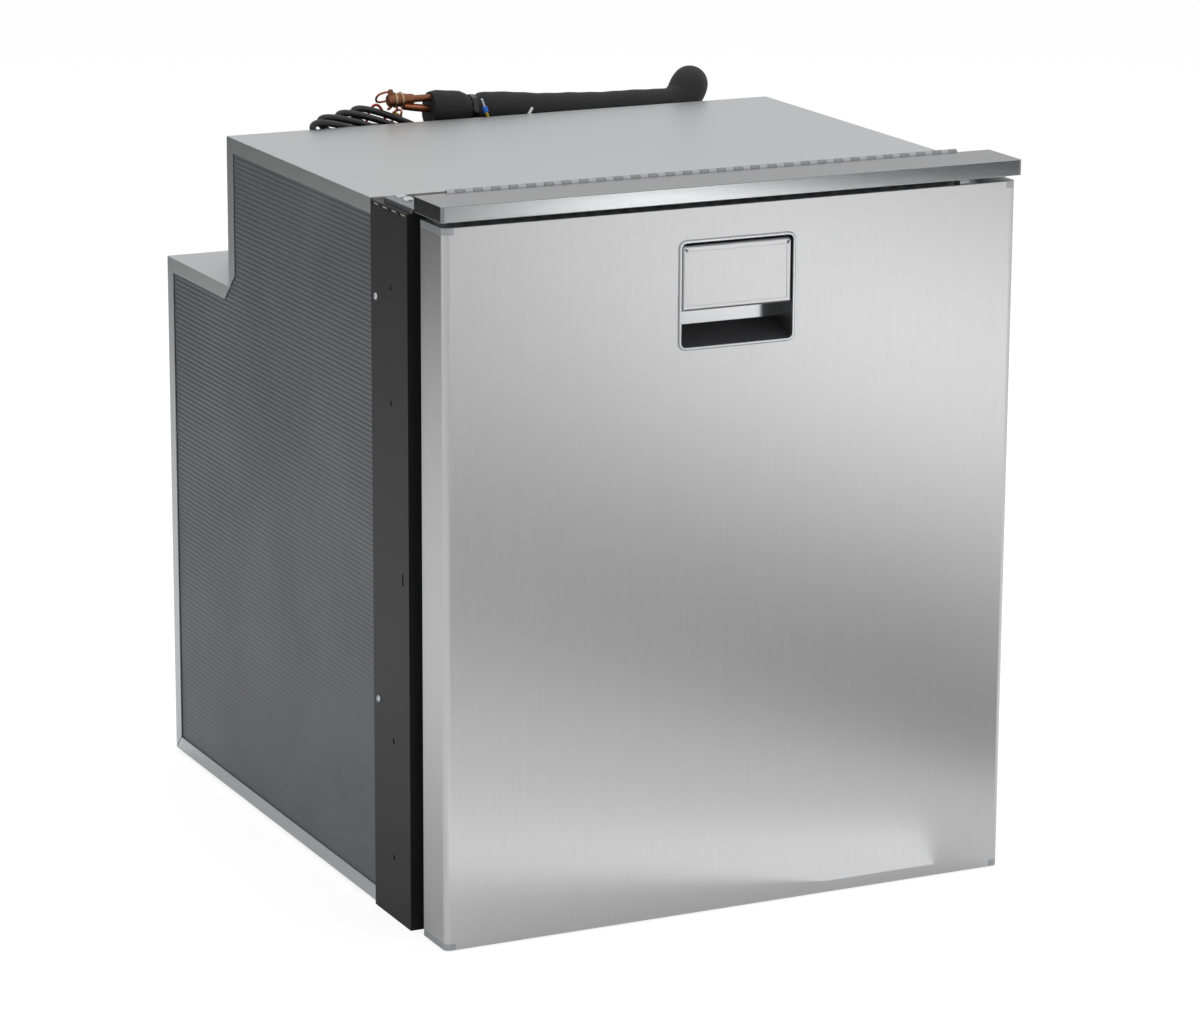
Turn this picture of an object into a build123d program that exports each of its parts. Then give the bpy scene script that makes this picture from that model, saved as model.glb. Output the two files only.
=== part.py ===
from build123d import *
import math
import os

# A built-in drawer refrigerator at its real size, in millimetres.
# X runs to the right, Y to the rear, Z up; the origin is below the middle of the whole appliance.

# Cabinet: the insulated box, stepped at the upper rear to make room for the cooling unit
CABINET_WIDTH = 483.0
FRAME_HEIGHT = 549.0
CABINET_BASE = 3.0
CABINET_TOP = FRAME_HEIGHT + 1.0
CABINET_DEPTH = 501.6
RECESS_DEPTH = 140.4
STEP_HEIGHT = CABINET_TOP - 122.0
SIDE_WALL = 40.0
TOP_WALL = 40.0
BOTTOM_WALL = 38.0
REAR_WALL = 40.0
STEP_WALL = 40.0
SHEET = 0.8
FLANGE = 12.0
CORNER_SLIT = 0.7
CORNER_BRIDGE = 1.4
LINER = 1.5
SIDE_SHEET = 0.8
RIB_HEIGHT = 0.5
RIB_PITCH = 4.0
RIB_CLEARANCE = 0.1

# Mounting frame: the black folded steel surround at the front of the cabinet
FRAME_DEPTH = 68.0
FRAME_SHEET = 1.5
FOLD_SLOT_LENGTH = 11.4
FOLD_SLOT_HEIGHT = 1.6
FOLD_SLOT_PITCH = 16.7
FOLD_SLOT_COUNT = 4
FIXING_HOLE_RADIUS = 2.0
FIXING_FROM_BACK = 37.5
FIXING_OUTER_Z = (49.0, FRAME_HEIGHT - 60.0)
FIXING_INNER_Z = (141.0, FRAME_HEIGHT - 147.0)
SIDE_SCREW_FROM_BACK = 9.7
SIDE_SCREW_Z = (167.0, FRAME_HEIGHT - 71.5)
SCREW_HEAD_RADIUS = 3.6
SCREW_HEAD_HEIGHT = 1.6
SCREW_SIDES = 10
SLOT_WINDOW_FROM_BACK = 56.8
SLOT_WINDOW_SIZE = (2.4, 9.2)
SLOT_WINDOW_Z = FRAME_HEIGHT / 2 - 3.2

# Front panel of the drawer
PANEL_WIDTH = CABINET_WIDTH - 8.0
PANEL_BASE = 1.0
PANEL_TOP = FRAME_HEIGHT - 1.5
PANEL_THICKNESS = 40.0
PANEL_SKIN = 0.8
PANEL_EDGE_RADIUS = 5.0
PANEL_HEM = 9.0
CAP_EDGE = 5.0
CAP_PLATE = 2.5
CAP_LIP = 2.0
CAP_LIP_DEPTH = 12.0
CAP_CORNER = 8.5
DOOR_LINER = 2.0
DOOR_PLUG = 12.0
SEAL_GAP = 15.4
SEAL_INSET = 22.0
SEAL_WIDTH = 12.0
SEAL_HEAD = 4.0
SEAL_BASE = 3.0
SEAL_NECK = 7.0
SEAT_CLEARANCE = 0.3
DOOR_NUB_SIZE = (8.0, 9.0, 2.8)
DOOR_NUB_X = PANEL_WIDTH / 2 - 44.0

# Top flap over the drawer, on a piano hinge
FLAP_WIDTH = CABINET_WIDTH - 2.8
FLAP_LEAD = 3.6
FLAP_DEPTH = 49.6
FLAP_HEIGHT = 12.0
FLAP_RISE = 4.5
FLAP_SHEET = 1.2
FLAP_LIP = 8.0
FLAP_EDGE_RADIUS = 2.5
HINGE_LENGTH = CABINET_WIDTH - 53.0
KNUCKLE_LENGTH = 6.9
KNUCKLE_GAP = 0.2
KNUCKLE_RADIUS = 3.2
KNUCKLE_SIDES = 6
PIN_BORE_SIDES = 4
PIN_RADIUS = 1.25
PIN_CLEARANCE = 0.08
HINGE_DROP = 1.0
HINGE_LEAF = 1.0
HINGE_SWEEP = 0.4
HINGE_FOOT = 17.0
MOVING_LEAF_DEPTH = 30.0

# Hinge end brackets with their screws and the rubber stops that carry the closed flap
BRACKET_OUTER_X = CABINET_WIDTH / 2 - 3.5
BRACKET_INNER_X = BRACKET_OUTER_X - 18.0
BRACKET_BACK = 17.0
BRACKET_LENGTH = 80.0
BRACKET_SHEET = 1.5
BRACKET_HEIGHT = 4.2
BRACKET_SCREW_X = BRACKET_OUTER_X - 10.5
BRACKET_SCREW_FROM_BACK = (7.0, 21.0)
BRACKET_SCREW_RADIUS = 4.0
BRACKET_SCREW_HEIGHT = 2.7
BRACKET_SCREW_RECESS = (3.6, 1.0, 1.2)
STOP_SIZE = (9.0, 12.0)

# Handle: bezel, tray, pull paddle and latch
HANDLE_TOP_MARGIN = 23.6
BEZEL_WIDTH = 97.3
BEZEL_HEIGHT = 83.2
BEZEL_RING = 2.4
BEZEL_PROUD = 1.2
BEZEL_RADIUS = 6.0
TRAY_WALL = 1.3
TRAY_DEPTH = 25.0
TRAY_FIT = 0.15
SCOOP_RISE = 12.0
PADDLE_HEIGHT = 49.3
PADDLE_TOP_GAP = 1.9
PADDLE_SIDE_GAP = 0.75
PADDLE_THICKNESS = 8.0
PADDLE_PROUD = 0.6
PADDLE_BEVEL = 1.6
PADDLE_WALL = 2.5
PADDLE_PIN_RADIUS = 1.5
PADDLE_PIN_CLEARANCE = 0.06
PADDLE_PIN_SEAT = 0.02
PADDLE_PIN_DEPTH = 4.0
PADDLE_PIN_DROP = 3.2
PADDLE_ARM_REACH = 14.0
PADDLE_ARM_WIDTH = 12.0
PADDLE_ARM_HALF = 2.0
LATCH_WIDTH = 14.0
LATCH_SHEET = 2.0
LATCH_BEHIND_TRAY = 2.7
LATCH_TRAVEL = 6.6
LATCH_ARM_Z = (FRAME_HEIGHT - 15.0, FRAME_HEIGHT - 11.0)
LATCH_NOSE_TOP = FRAME_HEIGHT - 7.0
LATCH_NOSE = 3.0
LATCH_ENGAGEMENT = 3.4
LATCH_LUG = 3.0
LATCH_SLOT_CLEARANCE = 1.0
CUP_DEPTH = 14.0
CUP_WALL = 1.0

# Telescopic slides, each of three nested channels
SLIDE_HEIGHT = 45.0
SLIDE_GAUGE = 1.2
SLIDE_RUN = 0.35
SLIDE_THICKNESS = 12.7
SLIDE_OUTER_DEPTH = 9.5
SLIDE_MIDDLE_END = 11.0
SLIDE_LENGTH = CABINET_DEPTH - 51.6
SLIDE_MIDDLE_LENGTH = SLIDE_LENGTH - 4.0
SLIDE_INNER_LENGTH = SLIDE_LENGTH - 10.0
SLIDE_SET_BACK = 8.0
SLIDE_Z = 96.0
SLIDE_HOLE_RADIUS = 2.3
SLIDE_HOLES = 3

# Drawer side brackets and baskets
BRACE_SHEET = 2.0
BRACE_BASE = 50.0
BRACE_TOP = FRAME_HEIGHT - 109.0
BRACE_UPRIGHT = 34.0
BRACE_LOWER_TOP = 122.0
BRACE_LOWER_LENGTH = CABINET_DEPTH - 61.6
BRACE_ARM_Z = (FRAME_HEIGHT - 277.0, FRAME_HEIGHT - 255.0)
BRACE_ARM_LENGTH = CABINET_DEPTH - RECESS_DEPTH - 76.2
BRACE_FRONT_FLANGE = 18.0
BRACE_FLANGE = 13.0
BRACE_CORNER = 10.0
BASKET_WALL = 2.2
BASKET_CLEARANCE = 0.8
BASKET_TAPER = 5.0
BASKET_CORNER = 22.0
BASKET_RIM = 4.0
BASKET_RIM_HEIGHT = 6.0
LOWER_BASKET_HEIGHT = BRACE_ARM_Z[0] - BRACE_BASE - 26.0
LOWER_BASKET_LENGTH = BRACE_LOWER_LENGTH + 2.0
UPPER_BASKET_HEIGHT = BRACE_TOP - BRACE_ARM_Z[1] + 2.0
UPPER_BASKET_LENGTH = BRACE_ARM_LENGTH + 3.0
BASKET_FRONT_GAP = 3.0
BASKET_SLOT_WIDTH = 6.0
BASKET_SLOT_PITCH = 44.0
BASKET_SLOT_MARGIN = 34.0

# Cold side fittings in the cavity
EVAPORATOR_WIDTH = CABINET_WIDTH - 153.0
EVAPORATOR_HEIGHT = 104.0
EVAPORATOR_SHEET = 1.4
EVAPORATOR_STANDOFF = 8.0
EVAPORATOR_FROM_TOP = 6.0
CHANNEL_HEIGHT = 1.3
CHANNEL_WIDTH = 8.0
CHANNEL_COUNT = 5
HOUSING_WIDTH = 150.0
HOUSING_DEPTH = 70.0
HOUSING_HEIGHT = 34.0
HOUSING_SET_BACK = 22.0
HOUSING_RADIUS = 5.0
KNOB_RADIUS = 14.0
KNOB_DEPTH = 12.0
KNOB_X = HOUSING_WIDTH / 2 - 33.0
KNOB_SPINDLE_RADIUS = 3.0
KNOB_SPINDLE_CLEARANCE = 0.08
KNOB_SPINDLE_LENGTH = 14.0
KNOB_BORE_DEPTH = 16.0
KNOB_POINTER = 0.8
KNOB_GRIPS = 8
KNOB_GRIP_DEPTH = 1.4
LENS_SIZE = (62.0, 16.0, 2.5)
LENS_RADIUS = 4.0
LENS_X = 45.0 - HOUSING_WIDTH / 2

# Cooling unit on the rear step, side by side from the condenser at the left
CONDENSER_X = (47.5 - CABINET_WIDTH / 2, 79.5 - CABINET_WIDTH / 2)
FAN_DEPTH = 25.0
UNIT_X = (CONDENSER_X[1] + FAN_DEPTH + 5.0, CONDENSER_X[1] + FAN_DEPTH + 77.0)
COMPRESSOR_X = UNIT_X[1] + 84.0
COMPRESSOR_FROM_REAR = 68.0
COMPRESSOR_LENGTH = 142.0
COMPRESSOR_WIDTH = 106.0
COMPRESSOR_HEIGHT = 90.0
COMPRESSOR_LIFT = 8.0
SEAM_HEIGHT = 4.0
SEAM_PROUD = 2.5
SEAM_SHARE = 0.48
COMPRESSOR_DOME = 24.0
COMPRESSOR_SIDES = 20
SHOULDER_SHARE = 0.86
CROWN_SHARE = 0.5
BASE_SHEET = 2.0
GROMMET_RADIUS = 8.0
GROMMET_NECK = 4.8
GROMMET_TIP = 1.5
GROMMET_X = 58.0
GROMMET_Y = 38.0
STUB_RADIUS = 4.5
UNIT_FROM_RECESS = 18.0
UNIT_DEPTH = 80.0
UNIT_HEIGHT = 96.0
UNIT_FIN_COUNT = 7
UNIT_FIN_HEIGHT = 9.0
UNIT_FIN_THICKNESS = 2.4
UNIT_FIN_MARGIN = 6.0
CONDENSER_HEIGHT = 96.0
CONDENSER_LENGTH = 90.0
CONDENSER_FROM_REAR = 25.3
CONDENSER_FIN_PITCH = 5.2
CONDENSER_FIN = 0.9
CONDENSER_WEB = 7.0
CONDENSER_TUBE_RADIUS = 3.0
CONDENSER_TUBE_ROWS = 3
RETURN_BEND_REACH = 11.0
PIPE_FROM_WALL = 7.0
FAN_SIZE = 90.0
FAN_BORE = 42.0
FAN_HUB = 17.0
FAN_TIP_CLEARANCE = 1.5
FAN_BLADES = 7
FAN_STRUT = 5.0
FAN_PITCH = 52.0
FAN_BLADE = 1.6
FAN_CHORD = 19.0
FAN_SPINDLE = 2.0
FAN_SPINDLE_LENGTH = 8.0
FAN_STRUT_DEPTH = 4.0
DRIER_X = UNIT_X[1] - 12.0
DRIER_FROM_REAR = 20.0
DRIER_RADIUS = 8.0
DRIER_NECK = 3.2
DRIER_Z = (STEP_HEIGHT + 14.0, STEP_HEIGHT + 84.0)
DRIER_CONE = 9.0

# Suction line: a foam sleeve over a copper pipe, squeezed by a cable tie
SLEEVE_RADIUS = 16.0
SLEEVE_BORE = 3.6
SLEEVE_NECK = 12.0
SLEEVE_FROM_WALL = 26.1
SLEEVE_END = (UNIT_X[1] + 5.0, CABINET_TOP + 5.0)
SLEEVE_JOIN = (UNIT_X[1] + 80.0, CABINET_TOP - 1.5)
SLEEVE_NECK_FROM_END = 37.0
WALL_PASS = (CABINET_WIDTH / 2 - 59.5, CABINET_TOP - 64.0)
SLEEVE_CREST = (WALL_PASS[0] + 13.0, 18.0, CABINET_TOP + 7.5)
SLEEVE_DROP = (WALL_PASS[0] + 16.0, 56.0, CABINET_TOP - 22.0)
WALL_PASS_RADIUS = 9.0
SLEEVE_RUN = 46.0
SLEEVE_CLIMB = 15.0
SLEEVE_ENTRY = 65.0
SUCTION_RADIUS = 3.2
TIE_WIDTH = 4.6
TIE_BAND = 1.2
JOINT_RADIUS = 5.8
JOINT_X = (UNIT_X[1] - 31.4, UNIT_X[1] - 8.0)
JOINT_Z = CABINET_TOP + 14.5
JOINT_PIPE_RADIUS = 3.0
JOINT_PIPE_ENTRY = 9.0
JOINT_NUB = (2.1, 9.0)
CAPILLARY_RADIUS = 0.95
CAPILLARY_TURNS = 3
CAPILLARY_COIL_HALF = 3.6
CAPILLARY_COIL_START = (UNIT_X[1] - 25.0, CABINET_TOP + 10.0)
CAPILLARY_COIL_END = (UNIT_X[1] - 14.0, CABINET_TOP - 2.5)
CAPILLARY_SET_BACK = 12.8
TUBE_SIDES = 6
THIN_SIDES = 5
SLEEVE_SIDES = 12
LEAD_SIDES = 5
BEND_STEP = math.radians(30)

# Supply lead: a hank of loops on the electronic unit, its free stretch and its bare ends
LEAD_DIAMETER = 5.5
HANK_LOOPS = 4
HANK_LENGTH = 48.0
HANK_HALF = 6.6
HANK_STEP_Y = 6.6
HANK_SHIFT_SHARE = 0.6
HANK_FROM_WALL = 0.8
HANK_LEFT = (UNIT_X[0] - 29.0, CABINET_TOP + 2.5)
HANK_STEP = (18.0, 1.4)
HANK_REST = 0.2
LEAD_GLAND = (UNIT_X[0] + 8.0, 50.0)
GLAND_RADIUS = 5.0
GLAND_HEIGHT = 5.0
LEAD_POST = 12.0
LEAD_ONTO_SHARE = 0.35
LEAD_WIDEST_BEND = 40.0
LEAD_LEAVE = (-9.0, -6.6, -3.0)
LEAD_END_X = UNIT_X[1] + 64.0
LEAD_END_Z = CABINET_TOP - 22.0
CORE_RADIUS = 1.15
CORE_BEND = 12.0
CORE_TIPS = ((-18.0, 35.0), (23.5, 26.5), (8.0, 18.0))
FERRULE_RADIUS = 1.7
FERRULE_LENGTH = 5.0
FERRULE_PIN_RADIUS = 0.6
FERRULE_PIN_LENGTH = 7.0

# Rear feet
PAD_SIZE = (60.0, 20.0)
PAD_X = 170.0
PAD_FROM_REAR = 26.0

# Places worked out from the sizes above
FRONT_Y = -(FLAP_LEAD + PANEL_THICKNESS + SEAL_GAP + CABINET_DEPTH) / 2
PANEL_FACE_Y = FRONT_Y + FLAP_LEAD
PANEL_BACK_Y = PANEL_FACE_Y + PANEL_THICKNESS
FRAME_FACE_Y = PANEL_BACK_Y + SEAL_GAP
FRAME_BACK_Y = FRAME_FACE_Y + FRAME_DEPTH
REAR_Y = FRAME_FACE_Y + CABINET_DEPTH
RECESS_Y = REAR_Y - RECESS_DEPTH
HALF_WIDTH = CABINET_WIDTH / 2
CAVITY_HALF = HALF_WIDTH - SIDE_WALL
CAVITY_BASE = CABINET_BASE + BOTTOM_WALL
CAVITY_TOP = CABINET_TOP - TOP_WALL
CAVITY_BACK = RECESS_Y - REAR_WALL
CAVITY_LOW_BACK = REAR_Y - REAR_WALL
CAVITY_STEP = STEP_HEIGHT - STEP_WALL
LINER_HALF = CAVITY_HALF - LINER
CORE_HALF = HALF_WIDTH - SHEET - RIB_CLEARANCE - RIB_HEIGHT - SIDE_SHEET
FLAP_BASE = PANEL_TOP + FLAP_RISE
FLAP_TOP = FLAP_BASE + FLAP_HEIGHT
FLAP_BACK_Y = FRONT_Y + FLAP_DEPTH
HINGE_Y = FLAP_BACK_Y + KNUCKLE_RADIUS + HINGE_SWEEP
HINGE_Z = FLAP_TOP - HINGE_DROP
BEZEL_TOP = PANEL_TOP - HANDLE_TOP_MARGIN
HANDLE_Z = BEZEL_TOP - BEZEL_HEIGHT / 2
TRAY_WIDTH = BEZEL_WIDTH - 2 * BEZEL_RING
TRAY_HEIGHT = BEZEL_HEIGHT - 2 * BEZEL_RING
TRAY_RADIUS = BEZEL_RADIUS - BEZEL_RING
PADDLE_TOP = BEZEL_TOP - BEZEL_RING - PADDLE_TOP_GAP
PADDLE_PIN_Y = PANEL_FACE_Y + PADDLE_PIN_DEPTH
PADDLE_PIN_Z = PADDLE_TOP - PADDLE_PIN_DROP
LATCH_Y = PANEL_FACE_Y + TRAY_DEPTH + TRAY_WALL + LATCH_BEHIND_TRAY
LATCH_SLOT_Z = (LATCH_ARM_Z[0] - LATCH_TRAVEL - LATCH_SLOT_CLEARANCE, LATCH_NOSE_TOP - LATCH_ENGAGEMENT)
BRACE_X = LINER_HALF - SLIDE_THICKNESS
BRACE_FRONT_Y = PANEL_BACK_Y + DOOR_PLUG
STEP_FLOOR = STEP_HEIGHT
COMPRESSOR_Y = REAR_Y - COMPRESSOR_FROM_REAR
CAN_BASE = STEP_FLOOR + COMPRESSOR_LIFT
CAN_TOP = CAN_BASE + COMPRESSOR_HEIGHT
DISCHARGE_X = COMPRESSOR_X - 14
DISCHARGE_REACH = COMPRESSOR_WIDTH / 2 + 3
DISCHARGE_Z = CAN_BASE + 24
SUCTION_STUB_X = COMPRESSOR_X - COMPRESSOR_LENGTH / 2 + 24
UNIT_TOP = STEP_FLOOR + UNIT_HEIGHT
UNIT_FRONT_Y = RECESS_Y + UNIT_FROM_RECESS
CONDENSER_YS = (REAR_Y - CONDENSER_FROM_REAR - CONDENSER_LENGTH, REAR_Y - CONDENSER_FROM_REAR)
CONDENSER_ZS = (STEP_FLOOR, STEP_FLOOR + CONDENSER_HEIGHT)
FAN_X = (CONDENSER_X[1], CONDENSER_X[1] + FAN_DEPTH)
FAN_Y = REAR_Y - CONDENSER_FROM_REAR - FAN_SIZE / 2
FAN_Z = STEP_FLOOR + FAN_SIZE / 2
DRIER_Y = REAR_Y - DRIER_FROM_REAR
SLEEVE_Y = RECESS_Y + SLEEVE_FROM_WALL
JOINT_BRANCH = (JOINT_X[1] - 10, SLEEVE_Y, JOINT_Z - JOINT_RADIUS * 0.9)
LEAD_RADIUS = LEAD_DIAMETER / 2
SEAL_FACE_Y = FRAME_FACE_Y - SEAT_CLEARANCE


def block(xs, ys, zs):
    """A box between two values on each axis."""
    size = [high - low for low, high in (xs, ys, zs)]
    middle = [(high + low) / 2 for low, high in (xs, ys, zs)]
    return Pos(*middle) * Box(*size)


def prism(points, direction, amount):
    """A closed outline of points in space, pushed out along a direction."""
    return extrude(make_face(Polyline(*points, close=True)), amount=amount, dir=direction)


def side_prism(outline, xs):
    """An outline of (y, z) points, pushed out between two values of x."""
    return prism([(xs[0], y, z) for y, z in outline], (1, 0, 0), xs[1] - xs[0])


def rod(start, direction, radius, length):
    """A round bar from a point along a direction."""
    return Plane(origin=start, z_dir=direction) * Cylinder(
        radius, length, align=(Align.CENTER, Align.CENTER, Align.MIN)
    )


def bar(start, direction, radius, length, sides):
    """A straight bar with a faceted section, from a point along a direction."""
    return extrude(Plane(origin=start, z_dir=direction) * RegularPolygon(radius, sides), amount=length)


def faced_body(rings):
    """A closed body with flat faces between rings of the same count of corners, and a cap at each end."""
    faces = [make_face(Polyline(*ring, close=True)).face() for ring in (rings[0], rings[-1])]
    for near, far in zip(rings, rings[1:]):
        for side in range(len(near)):
            after = (side + 1) % len(near)
            outline = Polyline(near[side], near[after], far[after], far[side], close=True)
            faces.append(make_face(outline).face())
    return Solid(Shell(faces))


def polygon_ring(plane, radius, sides):
    """The corners of a regular polygon on a plane, in order, the first on the plane's own x."""
    turns = [2 * math.pi * index / sides for index in range(sides)]
    return [plane.from_local_coords((radius * math.cos(turn), radius * math.sin(turn), 0)) for turn in turns]


def pair(part):
    """A piece and its mirror image across the middle of the appliance."""
    return [part, mirror(part, about=Plane.YZ)]


def corner_radii(points):
    """The radius at each inner point: 0.45 of the shorter run over the tangent of half the turn."""
    radii = []
    for before, here, after in zip(points, points[1:], points[2:]):
        arriving = Vector(*here) - Vector(*before)
        leaving = Vector(*after) - Vector(*here)
        half_turn = math.radians(arriving.get_angle(leaving)) / 2
        radii.append(0.45 * min(arriving.length, leaving.length) / math.tan(half_turn))
    return radii


def swept_tube(points, radii, section_radius, sides):
    """A tube with a faceted section along straight runs joined by tangent arcs, and its middle line."""
    path = FilletPolyline(*points, radius=radii)
    start = Plane(origin=path @ 0, z_dir=path % 0)
    return sweep(start * RegularPolygon(section_radius, sides), path=path), path


def bend_points(points, radii):
    """The ends of a route's straight runs, with more points along each of its bends."""
    made = [Vector(*points[0])]
    for before, here, after, radius in zip(points, points[1:], points[2:], radii):
        corner = Vector(*here)
        arriving = (corner - Vector(*before)).normalized()
        leaving = (Vector(*after) - corner).normalized()
        turn = math.radians(arriving.get_angle(leaving))
        inward = (leaving - arriving * arriving.dot(leaving)).normalized()
        center = corner - arriving * (radius * math.tan(turn / 2)) + inward * radius
        steps = max(1, round(turn / BEND_STEP))
        for index in range(steps + 1):
            angle = turn * index / steps
            made.append(center + arriving * (radius * math.sin(angle)) - inward * (radius * math.cos(angle)))
    return made + [Vector(*points[-1])]


def rounded_prism(width, height, radius, center_z, ys):
    """A rounded rectangle seen from the front, between two values of y, centred across the front."""
    half = width / 2
    low, high = center_z - height / 2, center_z + height / 2
    around = [(0, low), (half, low), (half, high), (-half, high), (-half, low), (0, low)]
    outline = bend_points([(x, ys[0], z) for x, z in around], [radius] * 4)
    return prism(outline[:-1], (0, 1, 0), ys[1] - ys[0])


def flat_tube(points, radii, section_radius, sides):
    """A tube of flat faces along a route, mitred at every point where it turns."""
    route = bend_points(points, radii)
    start = Plane(origin=route[0], z_dir=route[1] - route[0])
    rings = [polygon_ring(start, section_radius, sides)]
    for before, here, after in zip(route, route[1:], route[2:] + [None]):
        arriving = (here - before).normalized()
        across = arriving + (after - here).normalized() if after else arriving
        share = 1 / arriving.dot(across)
        rings.append([spot + arriving * (share * (here - spot).dot(across)) for spot in rings[-1]])
    return faced_body(rings)


def pipe(points, bend_radius, section_radius, sides=TUBE_SIDES):
    """A bent metal pipe or wire; a bend is smaller only where its runs are too short for the radius."""
    radii = [min(bend_radius, limit) for limit in corner_radii(points)]
    return flat_tube(points, radii, section_radius, sides)


def self_gap(path, diameter, samples=900):
    """The least space between turns of one wound tube, measured on points along its middle line."""
    points = [path @ (index / samples) for index in range(samples + 1)]
    step = path.length / samples
    apart = int(2.2 * diameter / step)
    least = min(
        (points[low] - points[high]).length
        for low in range(0, len(points), 3)
        for high in range(low + apart, len(points), 3)
    )
    return least - diameter


def cabinet_outline(inset, front=FRAME_BACK_Y):
    """The stepped side view of the cabinet behind its frame, as (y, z) points, drawn in by an inset."""
    rear = REAR_Y - inset
    upper = RECESS_Y - inset
    base = CABINET_BASE + inset
    step = STEP_HEIGHT - inset
    top = CABINET_TOP - inset
    return [(front, base), (rear, base), (rear, step), (upper, step), (upper, top), (front, top)]


def cavity_outline(inset, front):
    """The side view of the cold space, as (y, z) points, drawn in by an inset."""
    rear = CAVITY_LOW_BACK - inset
    upper = CAVITY_BACK - inset
    base = CAVITY_BASE + inset
    step = CAVITY_STEP - inset
    top = CAVITY_TOP - inset
    return [(front, base), (rear, base), (rear, step), (upper, step), (upper, top), (front, top)]


def wall_pass(radius):
    """The hole by which the suction pipe leaves the cavity through the upper rear wall."""
    x, z = WALL_PASS
    return rod((x, CAVITY_BACK - 2 * LINER, z), (0, 1, 0), radius, REAR_WALL + 4 * LINER)


def cup_block(grow):
    """The space behind the latch slot, grown outwards by a wall."""
    half = LATCH_WIDTH / 2 + LATCH_SLOT_CLEARANCE + grow
    ys = (FRAME_FACE_Y + FRAME_SHEET, FRAME_FACE_Y + FRAME_SHEET + CUP_DEPTH + grow)
    zs = (LATCH_SLOT_Z[0] - grow, LATCH_NOSE_TOP + LATCH_SLOT_CLEARANCE + grow)
    return block((-half, half), ys, zs)


def fixing_holes(radius, depth):
    """The screw holes through both sides of the frame."""
    y = FRAME_BACK_Y - FIXING_FROM_BACK
    holes = []
    for z in FIXING_OUTER_Z + FIXING_INNER_Z:
        holes += pair(rod((HALF_WIDTH + 1, y, z), (-1, 0, 0), radius, depth + 1))
    return holes


def insulation():
    """The foam core: the front zone inside the frame, the stepped main box and the cold space."""
    inner = HALF_WIDTH - FRAME_SHEET
    front = block(
        (-inner, inner),
        (FRAME_FACE_Y + FRAME_SHEET, FRAME_BACK_Y),
        (FRAME_SHEET, FRAME_HEIGHT - FRAME_SHEET),
    )
    main = side_prism(cabinet_outline(SHEET), (-CORE_HALF, CORE_HALF))
    cavity = side_prism(cavity_outline(0, FRAME_FACE_Y - 1), (-CAVITY_HALF, CAVITY_HALF))
    return front + main - cavity - cup_block(CUP_WALL) - wall_pass(WALL_PASS_RADIUS)


def cabinet_wrap():
    """The outer sheet over the top, rear, step and base, folded onto both sides as narrow flanges."""
    ahead = FRAME_BACK_Y - 1
    shell = side_prism(cabinet_outline(0), (-HALF_WIDTH, HALF_WIDTH))
    inside = HALF_WIDTH - SHEET
    shell -= side_prism(cabinet_outline(SHEET, ahead), (-inside, inside))
    beyond = HALF_WIDTH + 1
    shell -= side_prism(cabinet_outline(FLANGE, ahead), (-beyond, beyond))
    notch = [
        (RECESS_Y - FLANGE - 1, STEP_HEIGHT + FLANGE + 1 - CORNER_BRIDGE),
        (RECESS_Y + FLANGE + 1 - CORNER_BRIDGE, STEP_HEIGHT - FLANGE - 1),
        (RECESS_Y - FLANGE - 1, STEP_HEIGHT - FLANGE - 1),
    ]
    cuts = pair(side_prism(notch, (inside, beyond)))
    slit_length = 2 * FLANGE * math.sqrt(2) + 6
    for y, z, turn in ((REAR_Y, CABINET_BASE, -45), (REAR_Y, STEP_HEIGHT, 45), (RECESS_Y, CABINET_TOP, 45)):
        slit = Box(beyond - inside, slit_length, CORNER_SLIT)
        cuts += pair(Pos((inside + beyond) / 2, y, z) * Rot(turn, 0, 0) * slit)
    return shell - cuts - wall_pass(WALL_PASS_RADIUS)


def ribbed_side():
    """The right side sheet: a flat back with fine ribs that run from front to rear."""
    back = CORE_HALF
    valley = back + SIDE_SHEET
    crest = valley + RIB_HEIGHT

    def ribbed(low, high, rear):
        profile = [(back, high), (back, low)]
        count = int((high - CABINET_BASE) / (RIB_PITCH / 2)) + 1
        for index in range(count):
            z = CABINET_BASE + RIB_PITCH / 4 + index * RIB_PITCH / 2
            if low + 0.2 < z < high - 0.2:
                profile.append((crest if index % 2 else valley, z))
        profile.insert(2, (valley, low))
        profile.append((valley, high))
        points = [(x, FRAME_BACK_Y, z) for x, z in profile]
        return prism(points, (0, 1, 0), rear - FRAME_BACK_Y)

    step = STEP_HEIGHT - SHEET
    lower = ribbed(CABINET_BASE + SHEET, step, REAR_Y - SHEET)
    upper = ribbed(step, CABINET_TOP - SHEET, RECESS_Y - SHEET)
    return lower + upper


def inner_liner():
    """The moulded lining of the cold space, open at the front."""
    front = FRAME_FACE_Y + FRAME_SHEET
    shell = side_prism(cavity_outline(0, front), (-CAVITY_HALF, CAVITY_HALF))
    hollow = side_prism(cavity_outline(LINER, front - 1), (-LINER_HALF, LINER_HALF))
    return shell - hollow - wall_pass(WALL_PASS_RADIUS)


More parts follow.
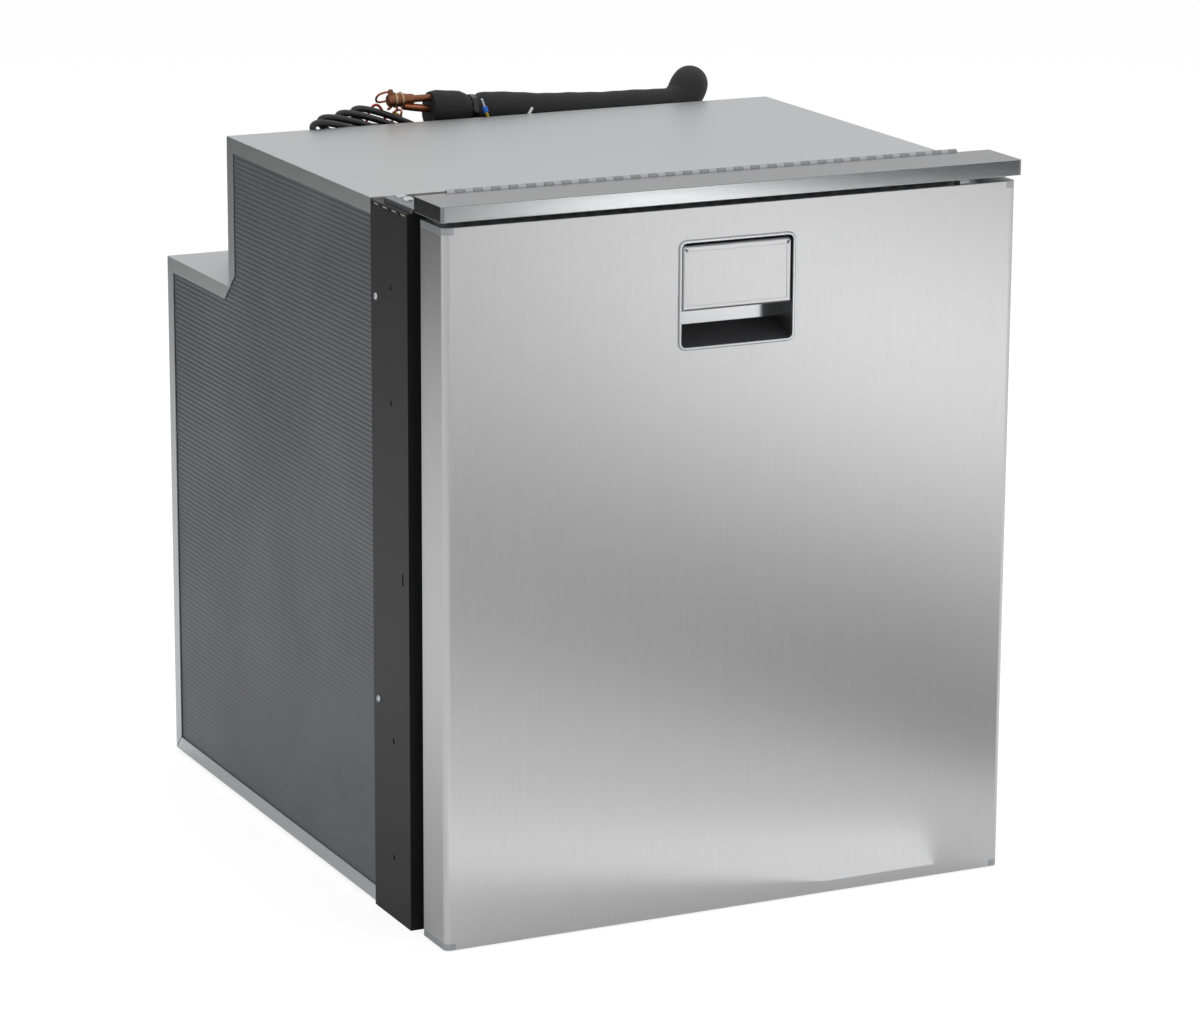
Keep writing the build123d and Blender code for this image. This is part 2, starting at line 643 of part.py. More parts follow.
def mounting_frame():
    """The folded steel surround: four webs and a front ring, with its fold slots and screw holes."""
    shell = block((-HALF_WIDTH, HALF_WIDTH), (FRAME_FACE_Y, FRAME_BACK_Y), (0, FRAME_HEIGHT))
    inside = HALF_WIDTH - FRAME_SHEET
    ring_back = FRAME_FACE_Y + FRAME_SHEET
    inside_zs = (FRAME_SHEET, FRAME_HEIGHT - FRAME_SHEET)
    shell -= block((-inside, inside), (ring_back, FRAME_BACK_Y + 1), inside_zs)
    through_ring = (FRAME_FACE_Y - 1, ring_back + 1)
    shell -= block((-CAVITY_HALF, CAVITY_HALF), through_ring, (CAVITY_BASE, CAVITY_TOP))
    half = LATCH_WIDTH / 2 + LATCH_SLOT_CLEARANCE
    cuts = [block((-half, half), through_ring, LATCH_SLOT_Z)]
    beyond = HALF_WIDTH + 1
    slot_top = FRAME_HEIGHT - FRAME_SHEET
    for index in range(FOLD_SLOT_COUNT):
        start = FRAME_BACK_Y - 2.8 - index * FOLD_SLOT_PITCH - FOLD_SLOT_LENGTH
        ys = (start, start + FOLD_SLOT_LENGTH)
        cuts += pair(block((inside - 1, beyond), ys, (slot_top - FOLD_SLOT_HEIGHT, slot_top)))
    window_y = FRAME_BACK_Y - SLOT_WINDOW_FROM_BACK
    ys = (window_y - SLOT_WINDOW_SIZE[0] / 2, window_y + SLOT_WINDOW_SIZE[0] / 2)
    zs = (SLOT_WINDOW_Z - SLOT_WINDOW_SIZE[1] / 2, SLOT_WINDOW_Z + SLOT_WINDOW_SIZE[1] / 2)
    cuts += pair(block((inside - 1, beyond), ys, zs))
    cuts += fixing_holes(FIXING_HOLE_RADIUS, FRAME_SHEET + 1)
    return shell - cuts


def frame_screws():
    """Two low-headed screws in each side of the frame."""
    y = FRAME_BACK_Y - SIDE_SCREW_FROM_BACK
    screws = []
    for z in SIDE_SCREW_Z:
        head = bar((HALF_WIDTH, y, z), (1, 0, 0), SCREW_HEAD_RADIUS, SCREW_HEAD_HEIGHT, SCREW_SIDES)
        screws += pair(chamfer(head.edges().group_by(Axis.X)[-1], SCREW_HEAD_HEIGHT * 0.6))
    return screws


def latch_cup():
    """The moulded cup that closes the foam behind the latch slot."""
    return cup_block(CUP_WALL) - cup_block(0)


def hinge_bracket():
    """The right hinge end bracket: a raised channel on the frame's top that reaches under the flap."""
    back = FRAME_BACK_Y - BRACKET_BACK
    xs = (BRACKET_INNER_X, BRACKET_OUTER_X)
    ys = (back - BRACKET_LENGTH, back)
    zs = (FRAME_HEIGHT, FRAME_HEIGHT + BRACKET_HEIGHT)
    shell = block(xs, ys, zs)
    hollow = block(
        (xs[0] + BRACKET_SHEET, xs[1] - BRACKET_SHEET),
        (ys[0] - 1, ys[1] - BRACKET_SHEET),
        (zs[0] - 1, zs[1] - BRACKET_SHEET),
    )
    overhang = block((xs[0] - 1, xs[1] + 1), (ys[0] - 1, FRAME_FACE_Y), (zs[0] - 1, zs[1] - BRACKET_SHEET))
    return shell - hollow - overhang


def bracket_screws():
    """Two pan-head screws on each hinge end bracket."""
    back = FRAME_BACK_Y - BRACKET_BACK
    z = FRAME_HEIGHT + BRACKET_HEIGHT
    screws = []
    for distance in BRACKET_SCREW_FROM_BACK:
        place = (BRACKET_SCREW_X, back - distance, z)
        head = bar(place, (0, 0, 1), BRACKET_SCREW_RADIUS, BRACKET_SCREW_HEIGHT, SCREW_SIDES)
        head = chamfer(head.edges().group_by(Axis.Z)[-1], BRACKET_SCREW_HEIGHT * 0.5)
        length, width, depth = BRACKET_SCREW_RECESS
        recess = Box(length, width, 2 * depth) + Box(width, length, 2 * depth)
        recess = Pos(BRACKET_SCREW_X, back - distance, z + BRACKET_SCREW_HEIGHT) * recess
        screws += pair(head - recess)
    return screws


def flap_stops():
    """A rubber block on each bracket, under the closed flap."""
    back = FRAME_BACK_Y - BRACKET_BACK
    middle = (BRACKET_INNER_X + BRACKET_OUTER_X) / 2
    xs = (middle - STOP_SIZE[0] / 2, middle + STOP_SIZE[0] / 2)
    front = back - BRACKET_LENGTH
    zs = (FRAME_HEIGHT + BRACKET_HEIGHT, FLAP_TOP - FLAP_SHEET - SEAT_CLEARANCE)
    return pair(block(xs, (front, front + STOP_SIZE[1]), zs))


def knuckles(first):
    """Every second knuckle of the hinge, each with its bore for the pin."""
    pitch = KNUCKLE_LENGTH + KNUCKLE_GAP
    count = int(HINGE_LENGTH / pitch)
    start = -count * pitch / 2
    barrel = RegularPolygon(KNUCKLE_RADIUS, KNUCKLE_SIDES) - RegularPolygon(
        PIN_RADIUS + PIN_CLEARANCE, PIN_BORE_SIDES, major_radius=False
    )
    made = []
    for index in range(first, count, 2):
        plane = Plane(origin=(start + index * pitch, HINGE_Y, HINGE_Z), x_dir=(0, 1, 0), z_dir=(1, 0, 0))
        made.append(extrude(plane * barrel, amount=KNUCKLE_LENGTH))
    return made


def leaf_reliefs(first):
    """The room that one leaf leaves round the knuckles of the other."""
    pitch = KNUCKLE_LENGTH + KNUCKLE_GAP
    count = int(HINGE_LENGTH / pitch)
    start = -count * pitch / 2
    reach = KNUCKLE_RADIUS + HINGE_SWEEP
    return [
        block(
            (start + index * pitch - KNUCKLE_GAP, start + index * pitch + KNUCKLE_LENGTH + KNUCKLE_GAP),
            (HINGE_Y - reach, HINGE_Y + reach),
            (HINGE_Z - reach, HINGE_Z + reach),
        )
        for index in range(first, count, 2)
    ]


def pin_room():
    """The bore kept open through the leaves for the hinge pin."""
    half = HINGE_LENGTH / 2 + 1
    plane = Plane(origin=(-half, HINGE_Y, HINGE_Z), x_dir=(0, 1, 0), z_dir=(1, 0, 0))
    bore = RegularPolygon(PIN_RADIUS + PIN_CLEARANCE, PIN_BORE_SIDES, major_radius=False)
    return extrude(plane * bore, amount=2 * half)


def hinge_half_length():
    """Half of the length that the whole knuckles fill."""
    pitch = KNUCKLE_LENGTH + KNUCKLE_GAP
    return int(HINGE_LENGTH / pitch) * pitch / 2 - KNUCKLE_GAP


def hinge_fixed_leaf():
    """The hinge leaf on the frame: a foot, an upright web and every other knuckle."""
    half = hinge_half_length()
    web_back = HINGE_Y + KNUCKLE_RADIUS * math.cos(math.pi / KNUCKLE_SIDES)
    web = block((-half, half), (web_back - HINGE_LEAF, web_back), (FRAME_HEIGHT, HINGE_Z))
    foot_ys = (web_back - HINGE_LEAF, web_back - HINGE_LEAF + HINGE_FOOT)
    foot = block((-half, half), foot_ys, (FRAME_HEIGHT, FRAME_HEIGHT + HINGE_LEAF))
    return (web + foot - leaf_reliefs(1)) + knuckles(0) - pin_room()


def hinge_moving_leaf():
    """The hinge leaf under the flap's top, with the other knuckles."""
    half = hinge_half_length()
    top = FLAP_TOP - FLAP_SHEET
    leaf = block((-half, half), (HINGE_Y - MOVING_LEAF_DEPTH, HINGE_Y), (top - HINGE_LEAF, top))
    return (leaf - leaf_reliefs(0)) + knuckles(1) - pin_room()


def hinge_pin():
    """The long pin through all the knuckles."""
    half = hinge_half_length()
    return rod((-half, HINGE_Y, HINGE_Z), (1, 0, 0), PIN_RADIUS, 2 * half)


def top_flap():
    """The folded stainless flap: top, front and ends, open below and at the rear, with a front lip."""
    half = FLAP_WIDTH / 2
    plan = Pos(0, (FRONT_Y + FLAP_BACK_Y) / 2, 0) * Rectangle(FLAP_WIDTH, FLAP_DEPTH)
    body = Pos(0, 0, FLAP_BASE) * extrude(plan, amount=FLAP_HEIGHT)
    corners = body.edges().filter_by(Axis.Z).group_by(Axis.Y)[0]
    body = fillet(corners, FLAP_EDGE_RADIUS)
    hollow = block(
        (-half + FLAP_SHEET, half - FLAP_SHEET),
        (FRONT_Y + FLAP_SHEET, FLAP_BACK_Y + 1),
        (FLAP_BASE + FLAP_SHEET, FLAP_TOP - FLAP_SHEET),
    )
    underside = block(
        (-half + FLAP_SHEET, half - FLAP_SHEET),
        (FRONT_Y + FLAP_LIP, FLAP_BACK_Y + 1),
        (FLAP_BASE - 1, FLAP_BASE + 2 * FLAP_SHEET),
    )
    return body - hollow - underside


def panel_plan(inset, rear_inset=0.0):
    """The front panel seen from above, with its front corners rounded, drawn in by an inset."""
    half = PANEL_WIDTH / 2 - inset
    front = PANEL_FACE_Y + inset
    back = PANEL_BACK_Y - rear_inset
    plan = Pos(0, (front + back) / 2, 0) * Rectangle(2 * half, back - front)
    return fillet(plan.vertices().group_by(Axis.Y)[0], PANEL_EDGE_RADIUS - inset)


def lift(sketch, zs):
    """A plan pushed up between two heights."""
    return Pos(0, 0, zs[0]) * extrude(sketch, amount=zs[1] - zs[0])


def handle_opening(grow, ys):
    """The opening for the handle tray, grown by a clearance."""
    width = TRAY_WIDTH + 2 * TRAY_WALL + 2 * grow
    height = TRAY_HEIGHT + 2 * TRAY_WALL + 2 * grow
    return rounded_prism(width, height, TRAY_RADIUS + TRAY_WALL + grow, HANDLE_Z, ys)


def front_skin():
    """The brushed sheet: face, rounded vertical edges, sides and rear hems; the face is the tallest."""
    zs = (PANEL_BASE + CAP_EDGE, PANEL_TOP - CAP_EDGE)
    shell = lift(panel_plan(0), zs) - lift(panel_plan(PANEL_SKIN, PANEL_SKIN), (zs[0] - 1, zs[1] + 1))
    hem_inner = PANEL_WIDTH / 2 - PANEL_HEM
    hem_ys = (PANEL_BACK_Y - 2 * PANEL_SKIN, PANEL_BACK_Y + 1)
    shell -= block((-hem_inner, hem_inner), hem_ys, (zs[0] - 1, zs[1] + 1))
    face_half = PANEL_WIDTH / 2 - CAP_CORNER
    face = block((-face_half, face_half), (PANEL_FACE_Y, PANEL_FACE_Y + PANEL_SKIN), (PANEL_BASE, PANEL_TOP))
    return shell + face - handle_opening(TRAY_FIT, (PANEL_FACE_Y - 1, PANEL_FACE_Y + 3))


def end_cap():
    """The moulded top end cap: a plate, the visible edge at sides and corners, and a lip inside the skin."""
    plate = lift(panel_plan(0), (PANEL_TOP - CAP_PLATE, PANEL_TOP))
    inside = panel_plan(PANEL_SKIN + CAP_LIP, -1)
    edge_zs = (PANEL_TOP - CAP_EDGE, PANEL_TOP)
    edge = lift(panel_plan(0), edge_zs) - lift(inside, (edge_zs[0] - 1, edge_zs[1]))
    lip_zs = (PANEL_TOP - CAP_LIP_DEPTH, PANEL_TOP - CAP_PLATE)
    lip = lift(panel_plan(PANEL_SKIN, PANEL_SKIN), lip_zs)
    lip -= lift(inside, (lip_zs[0] - 1, lip_zs[1]))
    face_half = PANEL_WIDTH / 2 - CAP_CORNER
    face_ys = (PANEL_FACE_Y - 1, PANEL_FACE_Y + PANEL_SKIN)
    room = block((-face_half, face_half), face_ys, (edge_zs[0] - 1, PANEL_TOP + 1))
    return plate + edge + lip - room


def end_cap_top():
    """The top cap with its small locating nub."""
    width, depth, height = DOOR_NUB_SIZE
    middle_y = PANEL_FACE_Y + 3 * PANEL_SKIN + depth / 2
    nub = block(
        (DOOR_NUB_X - width / 2, DOOR_NUB_X + width / 2),
        (middle_y - depth / 2, middle_y + depth / 2),
        (PANEL_TOP, PANEL_TOP + height),
    )
    return end_cap() + nub


def end_cap_bottom():
    """The bottom cap, the top cap's plain mirror image."""
    middle = (PANEL_TOP + PANEL_BASE) / 2
    return mirror(end_cap(), about=Plane.XY.offset(middle))


def latch_channel():
    """The room in the panel's foam for the latch to slide and reach out to the rear."""
    half = LATCH_WIDTH / 2 + LATCH_SLOT_CLEARANCE
    low = PADDLE_PIN_Z - PADDLE_ARM_HALF - LATCH_LUG - LATCH_TRAVEL - 3 * LATCH_SLOT_CLEARANCE
    return block(
        (-half, half),
        (PANEL_FACE_Y + TRAY_DEPTH, PANEL_BACK_Y + DOOR_PLUG),
        (low, LATCH_NOSE_TOP - LATCH_SLOT_CLEARANCE),
    )


def plug_block(inset):
    """The raised field on the back of the panel, inside the seal, drawn in by an inset."""
    half = PANEL_WIDTH / 2 - SEAL_INSET - SEAL_WIDTH - 2 * SEAT_CLEARANCE - inset
    zs = (
        PANEL_BASE + SEAL_INSET + SEAL_WIDTH + 2 * SEAT_CLEARANCE + inset,
        PANEL_TOP - SEAL_INSET - SEAL_WIDTH - 2 * SEAT_CLEARANCE - inset,
    )
    back = PANEL_BACK_Y + DOOR_PLUG - inset
    start = PANEL_BACK_Y - PANEL_SKIN - DOOR_LINER
    body = rounded_prism(2 * half, zs[1] - zs[0], 12 - inset, (zs[0] + zs[1]) / 2, (start, back))
    return body


def door_liner():
    """The moulded back of the panel, with its raised field hollow for the foam."""
    half = PANEL_WIDTH / 2 - PANEL_SKIN - CAP_LIP - SEAT_CLEARANCE
    ys = (PANEL_BACK_Y - PANEL_SKIN - DOOR_LINER, PANEL_BACK_Y - PANEL_SKIN)
    plate = block((-half, half), ys, (PANEL_BASE + CAP_PLATE, PANEL_TOP - CAP_PLATE))
    return plate + plug_block(0) - plug_block(DOOR_LINER) - latch_channel()


def door_foam():
    """The insulation that fills the front panel round the handle tray and the latch."""
    back = PANEL_SKIN + DOOR_LINER
    middle = lift(panel_plan(PANEL_SKIN, back), (PANEL_BASE + CAP_LIP_DEPTH, PANEL_TOP - CAP_LIP_DEPTH))
    ends = lift(panel_plan(PANEL_SKIN + CAP_LIP, back), (PANEL_BASE + CAP_PLATE, PANEL_TOP - CAP_PLATE))
    body = middle + ends + plug_block(DOOR_LINER)
    pocket = handle_opening(TRAY_FIT, (PANEL_FACE_Y - 1, PANEL_FACE_Y + TRAY_DEPTH + TRAY_WALL + TRAY_FIT))
    return body - pocket - latch_channel()


def seal_ring(width, ys):
    """One layer of the seal, centred on its line round the panel."""
    half = PANEL_WIDTH / 2 - SEAL_INSET - SEAL_WIDTH / 2
    low = PANEL_BASE + SEAL_INSET + SEAL_WIDTH / 2
    high = PANEL_TOP - SEAL_INSET - SEAL_WIDTH / 2
    reach = width / 2
    outer = block((-half - reach, half + reach), ys, (low - reach, high + reach))
    inner = block((-half + reach, half - reach), (ys[0] - 1, ys[1] + 1), (low + reach, high - reach))
    return outer - inner


def door_gasket():
    """The magnetic seal: a broad foot, a narrower bellows and a broad head."""
    start = PANEL_BACK_Y - PANEL_SKIN
    foot_top = start + SEAL_BASE
    head_base = SEAL_FACE_Y - SEAL_HEAD
    foot = seal_ring(SEAL_WIDTH, (start, foot_top))
    neck = seal_ring(SEAL_NECK, (foot_top, head_base))
    head = seal_ring(SEAL_WIDTH, (head_base, SEAL_FACE_Y))
    return foot + neck + head


def handle_bezel():
    """The satin ring round the handle."""
    ys = (PANEL_FACE_Y - BEZEL_PROUD, PANEL_FACE_Y)
    ring = rounded_prism(BEZEL_WIDTH, BEZEL_HEIGHT, BEZEL_RADIUS, HANDLE_Z, ys)
    ring = chamfer(ring.edges().group_by(Axis.Y)[0], BEZEL_PROUD * 0.6)
    return ring - rounded_prism(TRAY_WIDTH, TRAY_HEIGHT, TRAY_RADIUS, HANDLE_Z, (ys[0] - 1, ys[1] + 1))


def handle_tray():
    """The dark moulded recess behind the handle, with a scoop that rises to its back wall."""
    ys = (PANEL_FACE_Y, PANEL_FACE_Y + TRAY_DEPTH)
    body = handle_opening(0, (ys[0], ys[1] + TRAY_WALL))
    body -= rounded_prism(TRAY_WIDTH, TRAY_HEIGHT, TRAY_RADIUS, HANDLE_Z, (ys[0] - 1, ys[1]))
    floor = HANDLE_Z - TRAY_HEIGHT / 2
    half = TRAY_WIDTH / 2
    scoop = side_prism([(ys[0] + 1, floor), (ys[1], floor), (ys[1], floor + SCOOP_RISE)], (-half, half))
    scoop = scoop & handle_opening(0, ys)
    lug_half = LATCH_WIDTH / 2 + LATCH_SLOT_CLEARANCE
    lug_top = PADDLE_PIN_Z - PADDLE_ARM_HALF
    slot = block(
        (-lug_half, lug_half),
        (ys[1] - 1, ys[1] + TRAY_WALL + 1),
        (lug_top - LATCH_LUG - LATCH_TRAVEL - LATCH_SLOT_CLEARANCE, lug_top + LATCH_SLOT_CLEARANCE),
    )
    pin_hole = rod(
        (-half - TRAY_WALL - 1, PADDLE_PIN_Y, PADDLE_PIN_Z),
        (1, 0, 0),
        PADDLE_PIN_RADIUS + PADDLE_PIN_SEAT,
        2 * (half + TRAY_WALL + 1),
    )
    return body + scoop - slot - pin_hole


def paddle_pin():
    """The pin that the paddle turns on, held in both sides of the tray."""
    half = TRAY_WIDTH / 2 + TRAY_WALL
    return rod((-half, PADDLE_PIN_Y, PADDLE_PIN_Z), (1, 0, 0), PADDLE_PIN_RADIUS, 2 * half)


def handle_paddle():
    """The pull paddle: a bevelled plate hollow at the back, with a pivot tube and the arm to the latch."""
    half = TRAY_WIDTH / 2 - PADDLE_SIDE_GAP
    front = PANEL_FACE_Y - PADDLE_PROUD
    back = front + PADDLE_THICKNESS
    zs = (PADDLE_TOP - PADDLE_HEIGHT, PADDLE_TOP)
    plate = block((-half, half), (front, back), zs)
    upper_corners = plate.edges().filter_by(Axis.Y).group_by(Axis.Z)[-1]
    plate = fillet(upper_corners, TRAY_RADIUS - PADDLE_SIDE_GAP)
    plate = chamfer(plate.edges().group_by(Axis.Y)[0], PADDLE_BEVEL)
    hollow = block(
        (-half + PADDLE_WALL, half - PADDLE_WALL),
        (front + PADDLE_WALL, back + 1),
        (zs[0] + PADDLE_WALL, zs[1] - 2 * PADDLE_PIN_DROP),
    )
    arm_half = PADDLE_ARM_WIDTH / 2
    arm = block(
        (-arm_half, arm_half),
        (back - 1, PADDLE_PIN_Y + PADDLE_ARM_REACH),
        (PADDLE_PIN_Z - PADDLE_ARM_HALF, PADDLE_PIN_Z + PADDLE_ARM_HALF),
    )
    bore_radius = PADDLE_PIN_RADIUS + PADDLE_PIN_CLEARANCE
    bore = rod((-half - 1, PADDLE_PIN_Y, PADDLE_PIN_Z), (1, 0, 0), bore_radius, 2 * half + 2)
    return plate - hollow + arm - bore


def latch_bolt():
    """The latch: a lug under the paddle's arm, an upright strip and the hook behind the frame's slot."""
    half = LATCH_WIDTH / 2
    lug_top = PADDLE_PIN_Z - PADDLE_ARM_HALF - SEAT_CLEARANCE
    lug_front = PADDLE_PIN_Y + PADDLE_ARM_REACH - LATCH_LUG
    lug = block((-half, half), (lug_front, LATCH_Y + LATCH_SHEET), (lug_top - LATCH_LUG, lug_top))
    strip = block((-half, half), (LATCH_Y, LATCH_Y + LATCH_SHEET), (lug_top - LATCH_LUG, LATCH_ARM_Z[1]))
    nose_front = FRAME_FACE_Y + FRAME_SHEET + SEAT_CLEARANCE
    arm = block((-half, half), (LATCH_Y, nose_front + LATCH_NOSE), LATCH_ARM_Z)
    nose = side_prism(
        [
            (nose_front, LATCH_ARM_Z[1]),
            (nose_front + LATCH_NOSE, LATCH_ARM_Z[1]),
            (nose_front + LATCH_NOSE, LATCH_ARM_Z[1] + LATCH_SHEET / 2),
            (nose_front + LATCH_SHEET / 2, LATCH_NOSE_TOP),
            (nose_front, LATCH_NOSE_TOP),
        ],
        (-half, half),
    )
    return lug + strip + arm + nose


def channel(web_x, gauge, reach_x, half_height, ys):
    """A slide member: an upright web and two flanges; reach_x is the flanges' far edge."""
    far = web_x + gauge if reach_x > web_x else web_x - gauge
    web = block(sorted((web_x, far)), ys, (SLIDE_Z - half_height, SLIDE_Z + half_height))
    xs = sorted((web_x, reach_x))
    upper = block(xs, ys, (SLIDE_Z + half_height - gauge, SLIDE_Z + half_height))
    lower = block(xs, ys, (SLIDE_Z - half_height, SLIDE_Z - half_height + gauge))
    return web + upper + lower


def slide_holes(x, ys):
    """The mounting slots along a slide member's web."""
    spacing = (ys[1] - ys[0]) / (SLIDE_HOLES + 1)
    reach = SLIDE_HOLE_RADIUS
    return [
        block((x - 4, x + 4), (y - 2 * reach, y + 2 * reach), (SLIDE_Z - reach, SLIDE_Z + reach))
        for y in (ys[0] + spacing * (index + 1) for index in range(SLIDE_HOLES))
    ]


def slide_members():
    """The three nested members of the right slide, from the cabinet's to the drawer's."""
    start = FRAME_FACE_Y + SLIDE_SET_BACK
    half = SLIDE_HEIGHT / 2
    outer_ys = (start, start + SLIDE_LENGTH)
    outer = channel(LINER_HALF, SLIDE_GAUGE, LINER_HALF - SLIDE_OUTER_DEPTH, half, outer_ys)
    half -= SLIDE_GAUGE + SLIDE_RUN
    middle_x = LINER_HALF - SLIDE_GAUGE - SLIDE_RUN
    middle_ys = (start, start + SLIDE_MIDDLE_LENGTH)
    middle = channel(middle_x, SLIDE_GAUGE, LINER_HALF - SLIDE_MIDDLE_END, half, middle_ys)
    half -= SLIDE_GAUGE + SLIDE_RUN
    inner_ys = (start, start + SLIDE_INNER_LENGTH)
    inner = channel(BRACE_X, SLIDE_GAUGE, middle_x - SLIDE_GAUGE - SLIDE_RUN, half, inner_ys)
    return (
        outer - slide_holes(LINER_HALF, outer_ys),
        middle - slide_holes(middle_x, middle_ys),
        inner - slide_holes(BRACE_X, inner_ys),
    )


def drawer_brace():
    """The right drawer side bracket: an upright and two arms, folded in where they carry the baskets."""
    xs = (BRACE_X - BRACE_SHEET, BRACE_X)
    front = BRACE_FRONT_Y
    thin = BRACE_SHEET
    upright = block(xs, (front, front + BRACE_UPRIGHT), (BRACE_BASE, BRACE_TOP))
    lower = block(xs, (front, front + BRACE_LOWER_LENGTH), (BRACE_BASE, BRACE_LOWER_TOP))
    arm = block(xs, (front, front + BRACE_ARM_LENGTH), BRACE_ARM_Z)
    web = upright + lower + arm
    corners = web.edges().filter_by(Axis.X).filter_by(
        lambda edge: edge.center().Y > front + 1 and edge.center().Z > BRACE_BASE + 1
    )
    web = chamfer(corners, BRACE_CORNER * 0.6)
    front_xs = (BRACE_X - BRACE_FRONT_FLANGE, BRACE_X)
    front_flange = block(front_xs, (front, front + thin), (BRACE_BASE, BRACE_TOP))
    xs = (BRACE_X - BRACE_FLANGE, BRACE_X)
    floor = block(xs, (front, front + BRACE_LOWER_LENGTH - BRACE_CORNER), (BRACE_BASE, BRACE_BASE + thin))
    shelf_zs = (BRACE_ARM_Z[1] - thin, BRACE_ARM_Z[1])
    shelf = block(xs, (front, front + BRACE_ARM_LENGTH - BRACE_CORNER), shelf_zs)
    return web + front_flange + floor + shelf


def basket(base, height, length):
    """A moulded basket: tapered walls, bevelled corners, a thick rim and slots in its sides."""
    half = BRACE_X - BRACE_SHEET - BASKET_CLEARANCE
    front = BRACE_FRONT_Y + BRACE_SHEET + BASKET_FRONT_GAP
    middle_y = front + length / 2
    width = 2 * half
    rim_low = base + height - BASKET_RIM_HEIGHT

    def plan(inset, z):
        outline = Rectangle(width - 2 * inset, length - 2 * inset)
        return Pos(0, middle_y, z) * chamfer(outline.vertices(), BASKET_CORNER * 0.6 - inset / 4)

    shell = loft([plan(BASKET_RIM + BASKET_TAPER, base), plan(BASKET_RIM, rim_low)], ruled=True)
    shell += extrude(plan(0, rim_low), amount=BASKET_RIM_HEIGHT)
    wall = BASKET_RIM + BASKET_WALL
    shell -= loft([plan(wall + BASKET_TAPER, base + BASKET_WALL), plan(wall, rim_low)], ruled=True)
    shell -= extrude(plan(wall, rim_low), amount=BASKET_RIM_HEIGHT + 1)
    slot_zs = (base + BASKET_SLOT_MARGIN, rim_low - BASKET_SLOT_MARGIN / 2)
    side_count = int((length - 3 * BASKET_SLOT_MARGIN) / BASKET_SLOT_PITCH) + 1
    cuts = []
    for index in range(side_count):
        y = middle_y + (index - (side_count - 1) / 2) * BASKET_SLOT_PITCH
        slot_ys = (y - BASKET_SLOT_WIDTH / 2, y + BASKET_SLOT_WIDTH / 2)
        cuts.append(block((-half - 1, half + 1), slot_ys, slot_zs))
    return shell - cuts


def evaporator():
    """The cold plate on the upper rear wall, with raised refrigerant channels and four standoffs."""
    back = CAVITY_BACK - LINER
    plate_back = back - EVAPORATOR_STANDOFF
    top = CAVITY_TOP - LINER - EVAPORATOR_FROM_TOP
    base = top - EVAPORATOR_HEIGHT
    half = EVAPORATOR_WIDTH / 2
    plate = block((-half, half), (plate_back - EVAPORATOR_SHEET, plate_back), (base, top))
    spacing = EVAPORATOR_HEIGHT / (CHANNEL_COUNT + 1)
    for index in range(CHANNEL_COUNT):
        z = base + spacing * (index + 1)
        ys = (plate_back - EVAPORATOR_SHEET - CHANNEL_HEIGHT, plate_back - EVAPORATOR_SHEET)
        plate += block((15 - half, half - 15), ys, (z - CHANNEL_WIDTH / 2, z + CHANNEL_WIDTH / 2))
    for x in (-half + 15, half - 15):
        for z in (base + 12, top - 12):
            plate += bar((x, plate_back, z), (0, 1, 0), 4, EVAPORATOR_STANDOFF, TUBE_SIDES)
    return plate


def thermostat_housing():
    """The moulded housing under the cavity's ceiling that carries the lamp lens and the control knob."""
    half = HOUSING_WIDTH / 2
    front = FRAME_FACE_Y + HOUSING_SET_BACK
    top = CAVITY_TOP - LINER
    body = block((-half, half), (front, front + HOUSING_DEPTH), (top - HOUSING_HEIGHT, top))
    body = chamfer(body.edges().group_by(Axis.Z)[0], HOUSING_RADIUS)
    bore_radius = KNOB_SPINDLE_RADIUS + KNOB_SPINDLE_CLEARANCE
    return body - rod((KNOB_X, front - 1, top - HOUSING_HEIGHT / 2), (0, 1, 0), bore_radius, KNOB_BORE_DEPTH)


def thermostat_knob():
    """The round control knob with finger grips, a pointer ridge and its spindle."""
    front = FRAME_FACE_Y + HOUSING_SET_BACK
    z = CAVITY_TOP - LINER - HOUSING_HEIGHT / 2
    outline = []
    for index in range(4 * KNOB_GRIPS):
        angle = math.pi * index / (2 * KNOB_GRIPS)
        radius = KNOB_RADIUS if index % 4 < 2 else KNOB_RADIUS - KNOB_GRIP_DEPTH
        across, rise = radius * math.cos(angle), radius * math.sin(angle)
        outline.append((KNOB_X + across, front - SEAT_CLEARANCE, z + rise))
    disc = prism(outline, (0, -1, 0), KNOB_DEPTH)
    face = front - SEAT_CLEARANCE - KNOB_DEPTH
    pointer = block((KNOB_X - 1, KNOB_X + 1), (face - KNOB_POINTER, face + 1), (z + 2, z + KNOB_RADIUS - 3))
    spindle = rod((KNOB_X, front - 1, z), (0, 1, 0), KNOB_SPINDLE_RADIUS, KNOB_SPINDLE_LENGTH)
    return disc + pointer + spindle


def lamp_lens():
    """The clear cover of the cavity lamp on the front of the housing."""
    width, height, proud = LENS_SIZE
    front = FRAME_FACE_Y + HOUSING_SET_BACK
    z = CAVITY_TOP - LINER - HOUSING_HEIGHT / 2
    plane = Plane(origin=(LENS_X, front, z), x_dir=(1, 0, 0), z_dir=(0, -1, 0))
    return extrude(plane * RectangleRounded(width, height, LENS_RADIUS), amount=proud)


def can_ring(share, grow, level):
    """Points round the oval can at a level above its base, as a share of the full size and grown outwards."""
    half_length = share * COMPRESSOR_LENGTH / 2 + grow
    half_width = share * COMPRESSOR_WIDTH / 2 + grow
    turns = [2 * math.pi * index / COMPRESSOR_SIDES for index in range(COMPRESSOR_SIDES)]
    center = Vector(COMPRESSOR_X, COMPRESSOR_Y, CAN_BASE + level)
    return [center + Vector(half_length * math.cos(turn), half_width * math.sin(turn), 0) for turn in turns]


